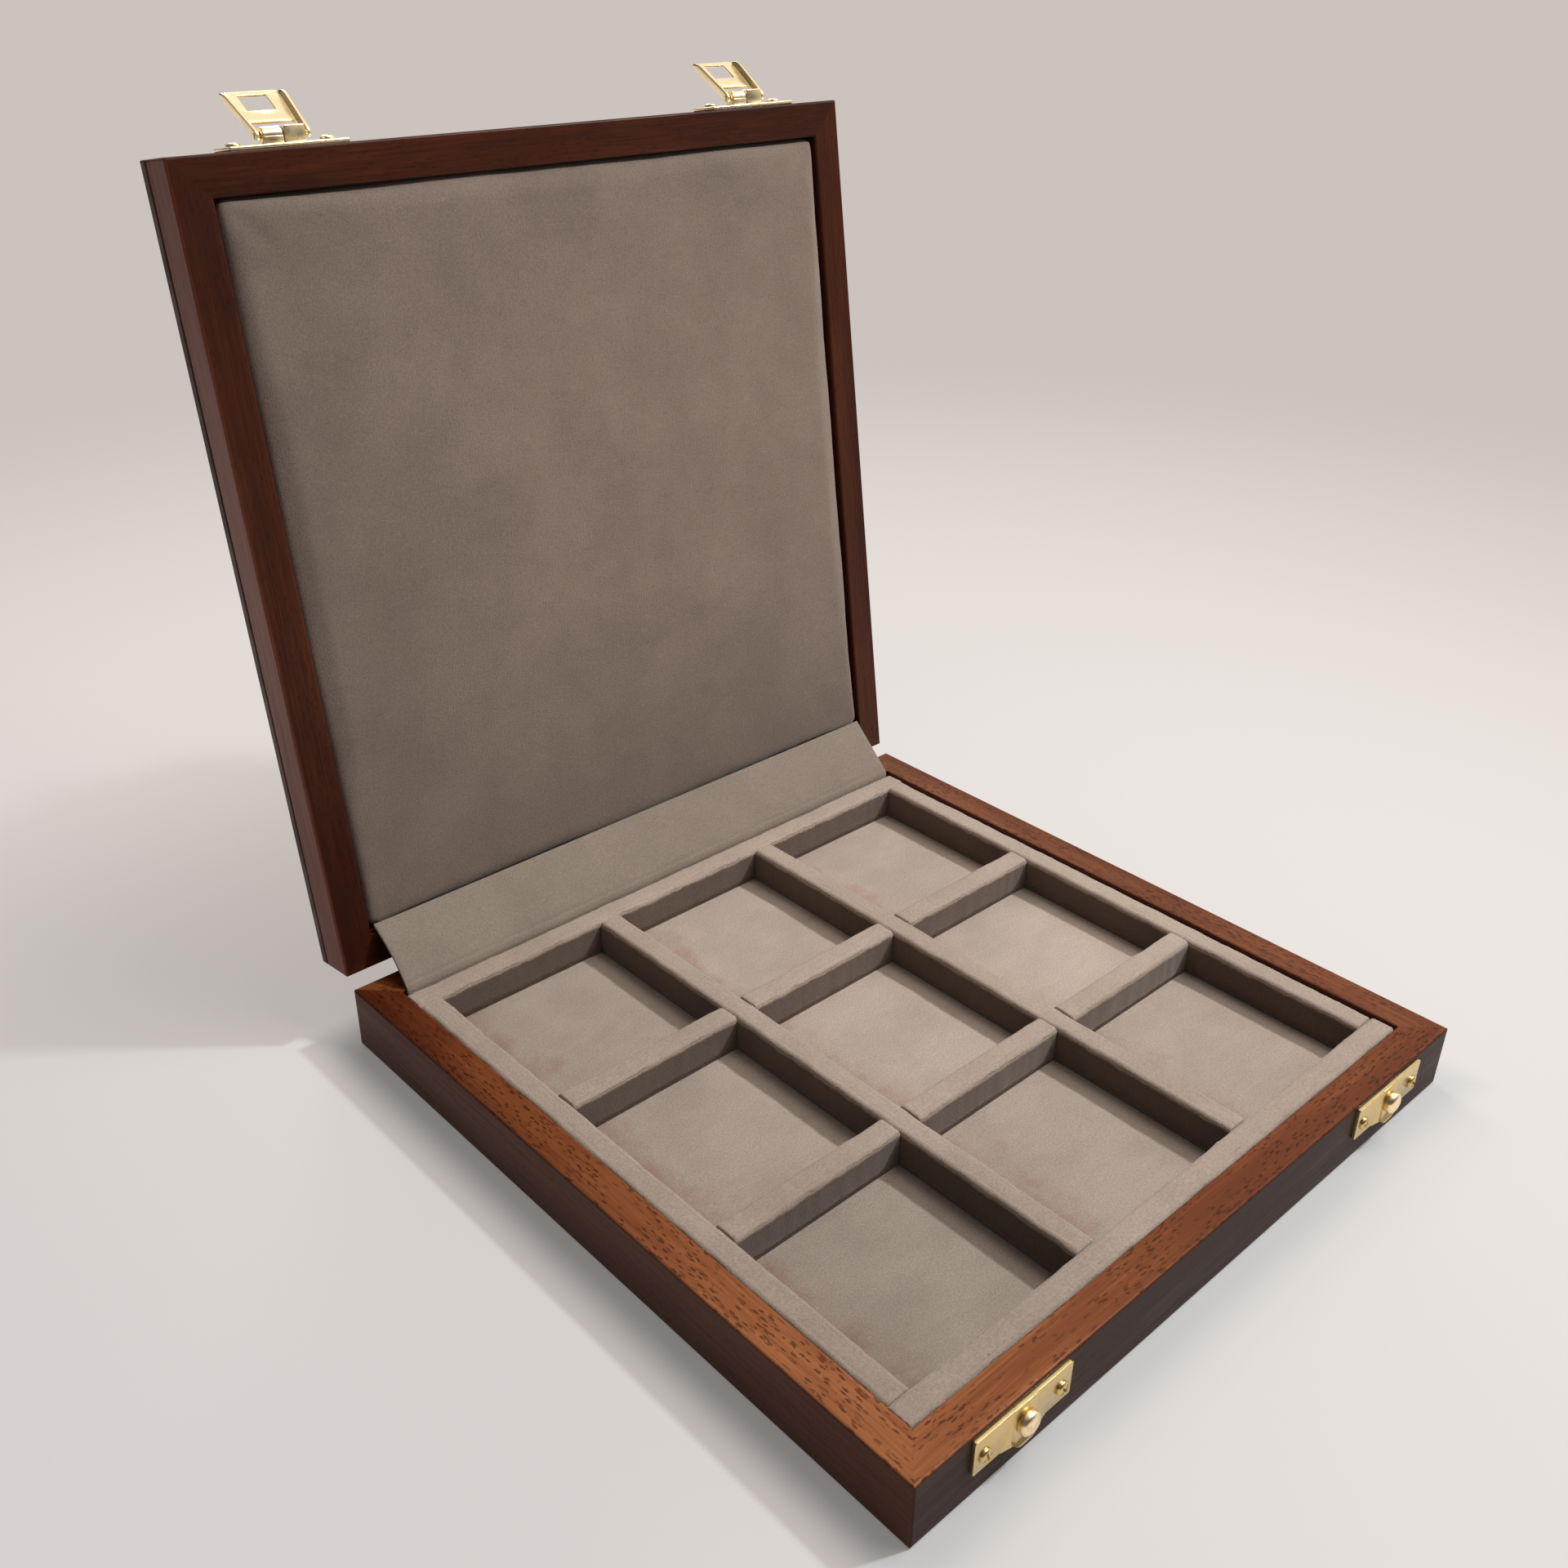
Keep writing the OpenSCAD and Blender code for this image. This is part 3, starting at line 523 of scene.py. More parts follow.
# grain's turn, grain's start, painted light and shade of the side, its axis, tone, gloss, painted
# far shade
rails = {
    "base_front_rail": (0, 0, FRONT_SIDE, "Z", 1.0, 0.08, 0.15),
    "base_back_rail": (0, 0.4, FRONT_SIDE, "Z", 1.0, 0.10, 0.15),
    "base_left_rail": (90, 0.9, LEFT_SIDE, "Z", 1.0, 0.08, 1.0),
    "base_right_rail": (90, 1.3, LEFT_SIDE, "Z", 0.78, 0.10, 0.0),
    "base_board": (90, 1.7, None, "Z", 1.0, 0.08, 0.0),
    "lid_front_rail": (0, 2.1, None, "Z", 1.0, 0.10, 0.0),
    "lid_back_rail": (0, 2.5, None, "Z", 1.0, 0.10, 0.0),
    "lid_left_rail": (90, 2.9, LID_SIDE, "X", 1.0, 0.12, 0.0),
    "lid_right_rail": (90, 3.3, None, "Z", 1.0, 0.10, 0.0),
    "lid_board": (0, 3.7, None, "Z", 1.0, 0.10, 0.0),
}
for name, (turn, start, stained_side, side_axis, tone, gloss, far_shade) in rails.items():
    in_lid = name.startswith("lid")
    light, dark = (LID_LIGHT, LID_DARK) if in_lid else (BASE_LIGHT, BASE_DARK)
    light, dark = ([c * tone for c in colour[:3]] + [1] for colour in (light, dark))
    paint(nodes[name], wood(name + "_wood", (LID_OPEN if in_lid else 0, 0, turn), (start, 0, 0),
                            light, dark, stained_side, side_axis, gloss, far_shade,
                            LID_PORES if in_lid else BASE_PORES))
print("varnished:", len(rails), "pieces of wood")

# %% [markdown]
# ## Velvet
# The lining is a short cotton velvet. Seen straight on, its upright pile swallows light. Seen
# at a low angle, the tips of the pile catch it, so floors look paler than walls. A sheen over a
# fairly dark base does that. The pile also leans in patches where hands have brushed it, which
# a group of soft noises gives as lighter and darker clouds with a fine fleck.

# %% Build the velvet group
nap, n_in, n_out = new_group("velvet_nap",
                             (("Vector", VECTOR), ("Cloth", COLOUR), ("Brushed", FLOAT)),
                             (("Color", COLOUR), ("Height", FLOAT)))
cloth_place = n_in["Vector"]
patches = noise_of(nap, cloth_place, 38, 3)
streaks = noise_of(nap, stretched(nap, cloth_place, (90, 260, 160), (0, 0, 30)), 1, 2)
fleck = noise_of(nap, cloth_place, 1500, 3, 0.75)
pile = noise_of(nap, cloth_place, 2600, 2, 0.6)


def light_and_dark(source, dark, light):
    """A factor from one noise, between a darker and a lighter colour."""
    return mix_colour(nap, ranged(nap, source, 0.3, 0.7), (*dark, 1), (*light, 1))


shade = light_and_dark(patches, (0.90, 0.895, 0.89), (1.09, 1.095, 1.10))
streaked = light_and_dark(streaks, (0.965,) * 3, (1.03,) * 3)
leaning = mix_colour(nap, 1.0, shade, streaked, "MULTIPLY")
soft = mix_colour(nap, n_in["Brushed"], (1, 1, 1, 1), leaning)
dots = light_and_dark(fleck, (0.85,) * 3, (1.13,) * 3)
tinted = mix_colour(nap, 1.0, n_in["Cloth"], soft, "MULTIPLY")
join(nap, mix_colour(nap, 1.0, tinted, dots, "MULTIPLY"), n_out["Color"])
join(nap, maths(nap, "ADD", maths(nap, "MULTIPLY", fleck, 0.6), pile), n_out["Height"])
print("velvet group:", len(nap.nodes), "nodes")

# %% [markdown]
# ## Where the velvet differs
# One velvet lines the whole box, but its colour is changed in places. Pile that hangs down a
# wall is seen straight on, and the walls are painted darker than the tops, as painted shade.
# Floors are reddish and darker beside one wall. The cushion is painted darker towards its edges,
# as painted shade. Each is a function that takes the colour and gives it back changed. The front
# left corner is painted duller in two velvets, as painted shade, so that one is a group.

# %% Paint shade in the front left corner
# Painted shade: the front left corner of the tray is darker.
CORNER_SHADE_FROM, CORNER_SHADE_TO = -15 * MM, -75 * MM
corner, c_in, c_out = new_group("duller_corner", (("Vector", VECTOR), ("Color", COLOUR),
                                                  ("Amount", FLOAT)))
axes = axes_of(corner, c_in["Vector"])
dulled = maths(corner, "SUBTRACT", 1.0, c_in["Amount"])
shaded = c_in["Color"]
for axis in ("X", "Y"):
    toward = ranged(corner, axes[axis], CORNER_SHADE_FROM, CORNER_SHADE_TO)
    shaded = mix_colour(corner, toward, shaded, dulled, "MULTIPLY")
join(corner, shaded, c_out["Color"])
print("corner group:", len(corner.nodes), "nodes")


# %% Paint shade on walls, tint floors and shade the cushion's edges
STRIP_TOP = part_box("tray_left_strip")[1].z
TRAY_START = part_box("tray_left_strip")[0].x
TRAY_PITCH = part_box("long_divider_left")[0].x - TRAY_START
# Painted shade: the walls, and the crease along their top edge.
WALL_SHADE = (0.370, 0.338, 0.325, 1)
CREASE_SHADE = (0.42, 0.40, 0.39, 1)
LEFT_WALL_TINT = (0.75, 0.595, 0.55, 1)
CUSHION_EDGE_SHADE = (0.62, 0.61, 0.61, 1)
CREASE_BELOW, CREASE_HALF = 0.45 * MM, 0.16 * MM


def shaded_walls(tree, place, colour):
    """Painted shade on the walls from a ragged edge down, with a broken, wavy crease of painted
    shade at that edge.
    """
    wavy_edge = maths(tree, "MULTIPLY_ADD", noise_of(tree, place, 150, 1),
                      1.5 * MM, axes_of(tree, place)["Z"])
    ragged = maths(tree, "MULTIPLY_ADD", noise_of(tree, place, 700, 2), 0.9 * MM, wavy_edge)
    low = ranged(tree, ragged, STRIP_TOP + 0.2 * MM, STRIP_TOP - 1.0 * MM)
    colour = grouped(tree, corner, Vector=place, Color=colour, Amount=0.13)["Color"]
    colour = mix_colour(tree, low, colour, WALL_SHADE, "MULTIPLY")
    crease = maths(tree, "COMPARE", ragged, STRIP_TOP + CREASE_BELOW, CREASE_HALF)
    broken = ranged(tree, noise_of(tree, place, 55, 2), 0.42, 0.56, 0.0, 0.62)
    crease = maths(tree, "MULTIPLY", crease, broken)
    return mix_colour(tree, crease, colour, CREASE_SHADE, "MULTIPLY")


def tinted_floor(tree, place, colour):
    """Reddish, darker velvet along the left wall of each place, and painted shade in the front left
    corner.
    """
    column = maths(tree, "SUBTRACT", axes_of(tree, place)["X"], TRAY_START)
    column = maths(tree, "DIVIDE", column, TRAY_PITCH)
    inward = maths(tree, "MULTIPLY", maths(tree, "FRACT", column), TRAY_PITCH)
    blotch = noise_of(tree, place, 75, 4, 0.62)
    reach = maths(tree, "MULTIPLY_ADD", blotch, -45 * MM, inward)
    marks = ranged(tree, reach, 7 * MM, -17 * MM, 0.0, 0.95)
    colour = mix_colour(tree, marks, colour, LEFT_WALL_TINT, "MULTIPLY")
    # Painted shade: the front left corner is darker.
    return grouped(tree, corner, Vector=place, Color=colour, Amount=0.20)["Color"]


def shaded_cushion_edges(tree, place, colour):
    """The cushion is painted a little darker towards its left, lower and upper edges, as painted
    shade.
    """
    axes = axes_of(tree, place)
    left = ranged(tree, axes["X"], -20 * MM, -115 * MM, 0.0, 0.5)
    under = ranged(tree, axes["Z"], 120 * MM, 30 * MM, 0.0, 0.5)
    over = ranged(tree, axes["Z"], 190 * MM, 280 * MM, 0.0, 0.35)
    edge = maths(tree, "MAXIMUM", left, under)
    edge = maths(tree, "MAXIMUM", edge, over)
    return mix_colour(tree, edge, colour, CUSHION_EDGE_SHADE, "MULTIPLY")


print("strip tops at", round(STRIP_TOP / MM, 1), "mm, one place every",
      round(TRAY_PITCH / MM, 1), "mm")

# %% Mix the velvets
# One velvet in four colours: the tray's strips and floor are painted lighter than the cushion's, as
# painted light where the lid keeps the back lamp off them.
TAUPE = (0.520, 0.405, 0.325, 1)
FLOOR_TAUPE = (0.56, 0.448, 0.368, 1)
COVER_TAUPE = (0.330, 0.260, 0.208, 1)
CUSHION_TAUPE = (0.288, 0.218, 0.174, 1)
SHEEN_TINT = (1.0, 0.93, 0.86, 1)


def velvet(name, cloth, brushed, shading=None):
    """A velvet of one colour; shading(tree, place, colour) may change some of it."""
    material, tree, shader = new_material(name)
    place = object_place(tree)
    body = grouped(tree, nap, Vector=place, Cloth=cloth, Brushed=brushed)
    colour = shading(tree, place, body["Color"]) if shading else body["Color"]
    bumped(tree, shader, body["Height"], 0.6, 0.25 * MM)
    fill(tree, shader, {"Base Color": colour, "Roughness": 1.0, "Specular IOR Level": 0.05,
                        "Sheen Weight": 0.55, "Sheen Roughness": 0.38, "Sheen Tint": SHEEN_TINT})
    return material


tray_velvet = velvet("tray_velvet", TAUPE, 0.45, shaded_walls)
floor_velvet = velvet("tray_floor_velvet", FLOOR_TAUPE, 0.7, tinted_floor)
cushion_velvet = velvet("cushion_velvet", CUSHION_TAUPE, 0.6, shaded_cushion_edges)
cover_velvet = velvet("cover_velvet", COVER_TAUPE, 0.5)
print("velvets:", [m.name for m in bpy.data.materials if "velvet" in m.name])

# %% [markdown]
# ## Modelling helpers
# In edit mode, an operator works on the points, edges or faces that are selected. By hand they
# are clicked. In a script they are picked by a test of their place or direction, which goes on
# working when the piece's size changes.

# %% Helpers for picking and shaping
def pick(mesh_kind, test):
    """In edit mode, selects the points, edges or faces for which test is true."""
    mesh = bmesh.from_edit_mesh(bpy.context.edit_object.data)
    for v in mesh.verts:
        v.select = False
    mesh.select_flush(False)
    for part in getattr(mesh, mesh_kind):
        part.select_set(bool(test(part)))
    mesh.select_flush_mode()
    bmesh.update_edit_mesh(bpy.context.edit_object.data)


def edit_mode(kind="VERT"):
    bpy.ops.object.mode_set(mode="EDIT")
    bpy.ops.mesh.select_mode(type=kind)


def object_mode():
    bpy.ops.object.mode_set(mode="OBJECT")


def face_outwards():
    """In edit mode, turns every face of a closed piece outwards, then leaves edit mode."""
    bpy.ops.mesh.select_all(action="SELECT")
    bpy.ops.mesh.normals_make_consistent(inside=False)
    object_mode()


def cut(place, normal):
    """In edit mode, cuts the whole piece with a plane, and keeps both sides."""
    bpy.ops.mesh.select_all(action="SELECT")
    bpy.ops.mesh.bisect(plane_co=place, plane_no=normal)


def slice_up(direction, low, high, step):
    """Cuts the piece in edit mode with planes across direction, step apart."""
    for number in range(1, math.ceil((high - low) / step)):
        cut(direction * (low + number * step), direction)


def extrude(x=0, y=0, z=0):
    bpy.ops.mesh.extrude_region_move(TRANSFORM_OT_translate={"value": (x, y, z)})


def cube_between(name, low, high):
    deselect()
    bpy.ops.mesh.primitive_cube_add(size=1, location=(low + high) / 2)
    piece = newest(name)
    piece.scale = high - low
    return settle(piece)


def modify(piece, kind, **values):
    """Adds a modifier, sets it and applies it."""
    only(piece)
    made = piece.modifiers.new(kind.lower(), kind)
    for key, value in values.items():
        setattr(made, key, value)
    bpy.ops.object.modifier_apply(modifier=made.name)


def round_edges(piece, width, segments, degrees):
    """Bevels every edge that is sharper than so many degrees."""
    modify(piece, "BEVEL", width=width, segments=segments, limit_method="ANGLE",
           angle_limit=math.radians(degrees))


def copy_to(piece, name, matrix):
    """A copy with its own mesh, moved by matrix."""
    only(piece)
    bpy.ops.object.duplicate()
    made = newest(name)
    made.matrix_world = matrix
    return settle(made)


# Without a fixed seed, noise_vector starts from the clock and differs between runs.
WAVE_SEED = 7
noise.seed_set(WAVE_SEED)


def waviness(point, scale, amount):
    """A smooth push in all three directions that depends only on the place."""
    return noise.noise_vector(point * scale) * amount


def groove(s, middle, width, depth):
    """A soft groove across s, deepest at its middle."""
    return depth * math.exp(-((s - middle) / width) ** 2)


def finish(piece, material, body, stands_for):
    """Paints a piece, rides it on its body, hides the CAD node it stands for and reports it."""
    paint(piece, material)
    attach(piece, body)
    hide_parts(stands_for)
    report(piece)


# %% [markdown]
# ## Padded strips and dividers
# Each strip is a card wrapped in padded velvet, with a round, slightly uneven top. It starts
# as a cube at the size of its CAD solid. Its two top edges are bevelled round, its ends a
# little, and it is cut along its length, so that the padding can be given a slight waviness.
# A shallow fold runs along the top where the cloth was pulled over. All of it depends only on
# the place and on the fixed seed, so it comes out the same each time.

# %% Wrap one strip
STRIP_ROUND = 1.6 * MM
STRIP_END_ROUND = 0.5 * MM
STRIP_STEP, WALL_STEP = 1.6 * MM, 3 * MM
PAD_WAVE = 0.24 * MM
FOLD_IN, FOLD_WIDTH, FOLD_DEPTH = 2.15 * MM, 0.28 * MM, 0.50 * MM
LIP_BEFORE, LIP_WIDTH, LIP_RISE = 0.7 * MM, 0.45 * MM, 0.16 * MM
FAINT_FOLD = 0.22
CROWN = 0.12 * MM
FOLD_CUTS = (1.85, 2.1, 2.35, 2.65, 3.0, 3.4)


def strip_block(name, low, high, along):
    """A strip with round top edges, cut finely along its length and beside its folds."""
    across = 1 - along
    axes = (Vector((1, 0, 0)), Vector((0, 1, 0)))
    piece = cube_between(name, low, high)
    edit_mode("EDGE")
    pick("edges", lambda e: all(v.co.z > high.z - MM for v in e.verts)
         and abs((e.verts[0].co - e.verts[1].co)[along]) > MM)
    bpy.ops.mesh.bevel(offset=STRIP_ROUND, segments=5, profile=0.5)
    pick("edges", lambda e: abs((e.verts[0].co - e.verts[1].co)[along]) < 1e-6
         and any(abs(v.co.z - low.z) > 1e-5 for v in e.verts))
    bpy.ops.mesh.bevel(offset=STRIP_END_ROUND, segments=2, profile=0.5)
    slice_up(Vector((0, 0, 1)), low.z, high.z - STRIP_ROUND, WALL_STEP)
    for edge, inward in ((low[across], 1), (high[across], -1)):
        for inset in FOLD_CUTS:
            cut(axes[across] * (edge + inward * inset * MM), axes[across])
    slice_up(axes[along], low[along], high[along], STRIP_STEP)
    face_outwards()
    return piece


def soften(piece, low, high, along):
    """Gives a strip its folds, its ragged edges, its waviness and its crown."""
    across = 1 - along
    middle = ((low + high) / 2)[across]
    half = (high - low)[across] / 2
    for v in piece.data.vertices:
        run = v.co[along]
        side = (v.co[across] - middle) / half
        rise = max(0.0, (v.co.z - low.z) / (high.z - low.z))
        push = waviness(v.co, 95, PAD_WAVE) + waviness(v.co, 330, PAD_WAVE * 0.5)
        push[along] = 0
        wander = waviness(Vector((run, middle + side, 0)), 140, 0.75 * MM).x
        wander += waviness(Vector((run, middle - side, 0)), 600, 0.35 * MM).x
        ragged = waviness(Vector((run, side, 0.3)), 420, 0.30 * MM).x
        inset = half - abs(v.co[across] - middle)
        if v.co.z > high.z - STRIP_ROUND * 1.05:
            here = noise.noise(Vector((run, middle + side, 0.2)) * 60)
            here = max(0.0, here * 1.6 + 0.45)
            here *= 1.0 if along == 0 and side < 0 else FAINT_FOLD
            fold = FOLD_IN + wander
            v.co.z -= groove(inset, fold, FOLD_WIDTH, FOLD_DEPTH * here)
            v.co.z += groove(inset, fold - LIP_BEFORE, LIP_WIDTH, LIP_RISE * here)
        if inset < 1.2 * MM and v.co.z > low.z + 2 * MM:
            v.co[across] += math.copysign(ragged, side)
        v.co += push * rise
        if v.co.z > high.z - 0.6 * MM:
            v.co.z += CROWN * (1 - side * side)


# %% Wrap all the strips
strip_nodes = sorted(n for n in nodes if n.endswith("_strip") or "divider" in n)
for strip_node in strip_nodes:
    low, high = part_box(strip_node)
    along = 0 if (high - low).x > (high - low).y else 1
    piece = strip_block("padded_" + strip_node, low, high, along)
    soften(piece, low, high, along)
    smooth(piece)
    finish(piece, tray_velvet, "base", strip_node)

# %% [markdown]
# ## The tray floor
# One sheet of velvet over thin padding lies under all the dividers. Between them it rises a
# little, so it is a grid whose points are lifted in the middle of each of the nine places.

# %% Lay the tray floor
CELL_RISE, FLOOR_SINK, CELL_EASE = 0.35 * MM, 0.15 * MM, 8 * MM
low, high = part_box("tray_floor")
tray_floor = cube_between("padded_tray_floor", low, high)
edit_mode("FACE")
bpy.ops.mesh.select_all(action="SELECT")
bpy.ops.mesh.subdivide(number_cuts=71)
object_mode()
X_WALLS = ("tray_left_strip", "long_divider_left", "long_divider_right", "tray_right_strip")
Y_WALLS = ("tray_front_strip", "short_divider_front_left", "short_divider_back_left",
           "tray_back_strip")


def gaps(walls, axis):
    """Where each of the three places between four walls starts and ends."""
    boxes = [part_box(n) for n in walls]
    return [(boxes[i][1][axis], boxes[i + 1][0][axis]) for i in range(3)]


def cell_share(value, spans):
    """0 under a divider, 1 in the middle of a place, in between near its walls."""
    for first, last in spans:
        if first < value < last:
            return min(1.0, min(value - first, last - value) / CELL_EASE) ** 0.5
    return 0.0


columns, rows = gaps(X_WALLS, 0), gaps(Y_WALLS, 1)
for v in tray_floor.data.vertices:
    if v.co.z > high.z - 0.1 * MM:
        lift = cell_share(v.co.x, columns) * cell_share(v.co.y, rows)
        v.co.z += lift * CELL_RISE - FLOOR_SINK + waviness(v.co, 60, 0.12 * MM).z * lift
smooth(tray_floor)
finish(tray_floor, floor_velvet, "base", "tray_floor")

# %% [markdown]
# ## The lid, shut and open
# The lid stands open, and all on it leans back with it. It is easier to model a piece with the
# lid shut, where it lies level, and then to turn it open about the hinge pin. One matrix does
# that, and its inverse tells where a lid part of the CAD model lies with the lid shut.

# %% Find the turn of the lid
PIN = Vector([j for j in frame["joints"] if j["name"] == "lid_hinge"][0]["pos_m"])
TO_OPEN = (Matrix.Translation(PIN) @ Matrix.Rotation(math.radians(-LID_OPEN), 4, "X")
           @ Matrix.Translation(-PIN))
TO_SHUT = TO_OPEN.inverted()


def shut_box(node_name):
    """The lowest and highest corners of a lid part with the lid shut."""
    corners = [TO_SHUT @ v.co for v in nodes[node_name].data.vertices]
    return (Vector([min(c[i] for c in corners) for i in range(3)]),
            Vector([max(c[i] for c in corners) for i in range(3)]))


def swing_open(piece):
    """Turns a piece that was made with the lid shut to where the lid stands."""
    piece.matrix_world = TO_OPEN @ piece.matrix_world
    return settle(piece)


low, high = shut_box("lid_pad")
print("cushion space, lid shut:", [[round(c / MM, 1) for c in p] for p in (low, high)])

# %% [markdown]
# ## The lid's cushion
# The cushion is wadding on a card, wrapped in velvet and pressed into the lid. Its face swells
# out and its edges roll over. It starts as a slightly small block, remeshed into even cells.
# A short cloth simulation with pressure inside then fills it, with the side against the card
# held fast. How far a point may move is capped, and slow waves make the face a little uneven.

# %% Block out the cushion
CUSHION_OUT, CUSHION_BACK, CUSHION_FRONT = 1.95 * MM, 1.6 * MM, 2.85 * MM
CUSHION_ROUND, CUSHION_CORNER = 1.7 * MM, 3.0 * MM
CUSHION_PROUD = 0.8 * MM
CUSHION_CELL = 2.2 * MM
cushion = cube_between("lid_cushion",
                       low - Vector((CUSHION_OUT, CUSHION_FRONT, CUSHION_PROUD)),
                       high + Vector((CUSHION_OUT, CUSHION_BACK, 0)))
edit_mode("EDGE")
pick("edges", lambda e: abs(e.verts[0].co.z - e.verts[1].co.z) > MM)
bpy.ops.mesh.bevel(offset=CUSHION_CORNER, segments=4, profile=0.5)
pick("edges", lambda e: all(v.co.z < low.z + MM for v in e.verts))
bpy.ops.mesh.bevel(offset=CUSHION_ROUND, segments=4, profile=0.5)
face_outwards()
modify(cushion, "REMESH", mode="VOXEL", voxel_size=CUSHION_CELL, adaptivity=0)
report(cushion)

# %% Swell the cushion with cloth
held = cushion.vertex_groups.new(name="held")
held.add([v.index for v in cushion.data.vertices if v.co.z > high.z - CUSHION_CELL], 1.0, "REPLACE")
rest_places = [v.co.copy() for v in cushion.data.vertices]
only(cushion)
cloth = cushion.modifiers.new("cloth", "CLOTH")
for key, value in (("quality", 5), ("mass", 0.2), ("tension_stiffness", 14),
                   ("compression_stiffness", 14), ("shear_stiffness", 6),
                   ("bending_stiffness", 0.6), ("use_pressure", True),
                   ("uniform_pressure_force", 1.6), ("vertex_group_mass", "held")):
    setattr(cloth.settings, key, value)
cloth.settings.effector_weights.gravity = 0
cloth.collision_settings.use_collision = False
cloth.point_cache.frame_start = 1
cloth.point_cache.frame_end = 20
for step in range(1, 21):
    bpy.context.scene.frame_set(step)
bpy.ops.object.modifier_apply(modifier="cloth")
bpy.context.scene.frame_set(1)
moved = [(v.co - r).length for v, r in zip(cushion.data.vertices, rest_places)]
print("cushion swelled by up to", round(max(moved) / MM, 2), "mm")

# %% [markdown]
# ## The cushion's pressed end
# With the lid shut, the folded hinge cover lies on one end of the cushion and presses it
# flatter. Without that the two would cut through each other. The face sinks there over a long
# way, because a short step would show as a dark line across the velvet.

# %% Cap the swell and press one end
SWELL_CAP, SIDE_CAP = 1.0 * MM, 0.3 * MM
EDGE_EASE = 5 * MM
PRESSED_FROM, PRESSED_FULLY = 35 * MM, 87.2 * MM
FACE_LEVEL, PRESSED_LEVEL = 21.6 * MM, 22.9 * MM


def capped(value, most):
    return max(-most, min(most, value))


for v, r in zip(cushion.data.vertices, rest_places):
    push = v.co - r
    push = Vector((capped(push.x, SIDE_CAP), capped(push.y, SIDE_CAP), capped(push.z, SWELL_CAP)))
    front = max(0.0, min(1.0, (high.z - r.z) / EDGE_EASE))
    v.co = r + push + waviness(r, 26, 0.5 * MM) * front + waviness(r, 120, 0.12 * MM) * front
    pressed = max(0.0, min(1.0, (r.y - PRESSED_FROM) / (PRESSED_FULLY - PRESSED_FROM)))
    pressed *= pressed * (3 - 2 * pressed)
    v.co.z = max(v.co.z, FACE_LEVEL)
    v.co.z += pressed * max(0.0, PRESSED_LEVEL - v.co.z)
modify(cushion, "SUBSURF", levels=1, render_levels=1)
smooth(cushion)
swing_open(cushion)
finish(cushion, cushion_velvet, "lid", "lid_pad")

# %% [markdown]
# ## The hinge cover
# A strip of velvet on thin card hides the hinges. It starts in the narrow gap behind the tray,
# folds over at a pressed crease, and leans back until its free edge tucks under the lid's
# rim. It is a flat plane that is cut into a fine grid, whose rows are then laid along that
# path, and Solidify gives it its thickness.

# %% Find the cover's path
CREASE = Vector([j for j in frame["joints"] if j["name"] == "cover_crease"][0]["pos_m"])
low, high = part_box("hinge_cover")
TIP_INSET = 0.45 * MM
TIP = Vector((0, high.y - TIP_INSET, high.z - TIP_INSET))
SLOPE = (TIP - CREASE).normalized()
UP = SLOPE.cross(Vector((1, 0, 0)))
UP = UP if UP.z > 0 else -UP
COVER_LENGTH = (TIP - CREASE).length
COVER_WIDTH = high.x - low.x - 0.4 * MM
HEM_DEPTH, HEM_BACK = 6 * MM, 0.35 * MM
BEND = 0.9 * MM


def cover_path(s):
    """The middle line of the cover at distance s past the crease; s is negative in the hem."""
    if s < -BEND:
        return Vector((0, CREASE.y + HEM_BACK, CREASE.z + s))
    if s > BEND:
        return CREASE + SLOPE * s
    t = (s + BEND) / (2 * BEND)
    start = Vector((0, CREASE.y + HEM_BACK, CREASE.z - BEND))
    end = CREASE + SLOPE * BEND
    return start.lerp(CREASE.lerp(end, t), t)


print("cover past its crease:", round(COVER_LENGTH / MM, 1), "mm long,",
      round(COVER_WIDTH / MM, 1), "mm wide")

# %% Cut the cover's cloth
COVER_ROWS, COVER_COLUMNS = 48, 150
deselect()
bpy.ops.mesh.primitive_plane_add(size=1, location=(0, 0, 0))
cover = newest("velvet_hinge_cover")
cover.scale = (COVER_WIDTH, 1, 1)
settle(cover)
edit_mode("EDGE")
pick("edges", lambda e: abs(e.verts[0].co.y - e.verts[1].co.y) > 0.5)
bpy.ops.mesh.subdivide(number_cuts=COVER_ROWS)
pick("edges", lambda e: abs(e.verts[0].co.x - e.verts[1].co.x) > 0.1)
bpy.ops.mesh.subdivide(number_cuts=COVER_COLUMNS)
object_mode()
report(cover)

# %% Fold the cover
COVER_THICK = 1.0 * MM
COVER_BOW, END_CURL, END_TUCK, END_REACH = 0.55 * MM, 0.4 * MM, 0.5 * MM, 14 * MM
for v in cover.data.vertices:
    s = -HEM_DEPTH + (v.co.y + 0.5) * (HEM_DEPTH + COVER_LENGTH)
    x = v.co.x
    to_end = 1 - min(1.0, (high.x - abs(x)) / END_REACH)
    place = cover_path(s)
    past = max(0.0, s / COVER_LENGTH)
    bow = COVER_BOW * math.sin(math.pi * min(1.0, past)) if s > 0 else 0.0
    press = (groove(s, 0.6 * MM, 0.35 * MM, 0.35 * MM) + groove(s, 2.1 * MM, 0.4 * MM, 0.28 * MM))
    place += UP * (bow - press + to_end ** 2 * END_CURL * past)
    place.x = x
    if s > 0:
        place.x -= math.copysign(to_end * END_TUCK * math.sin(math.pi * past), x)
    wave = waviness(Vector((x, s, 0)), 55, 0.16 * MM).z if s > 2.5 * MM else 0.0
    v.co = place + UP * wave
modify(cover, "SOLIDIFY", thickness=COVER_THICK, offset=0)
round_edges(cover, 0.35 * MM, 2, 60)
edit_mode("FACE")
face_outwards()
smooth(cover, 60)
paint(cover, cover_velvet)
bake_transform(cover)
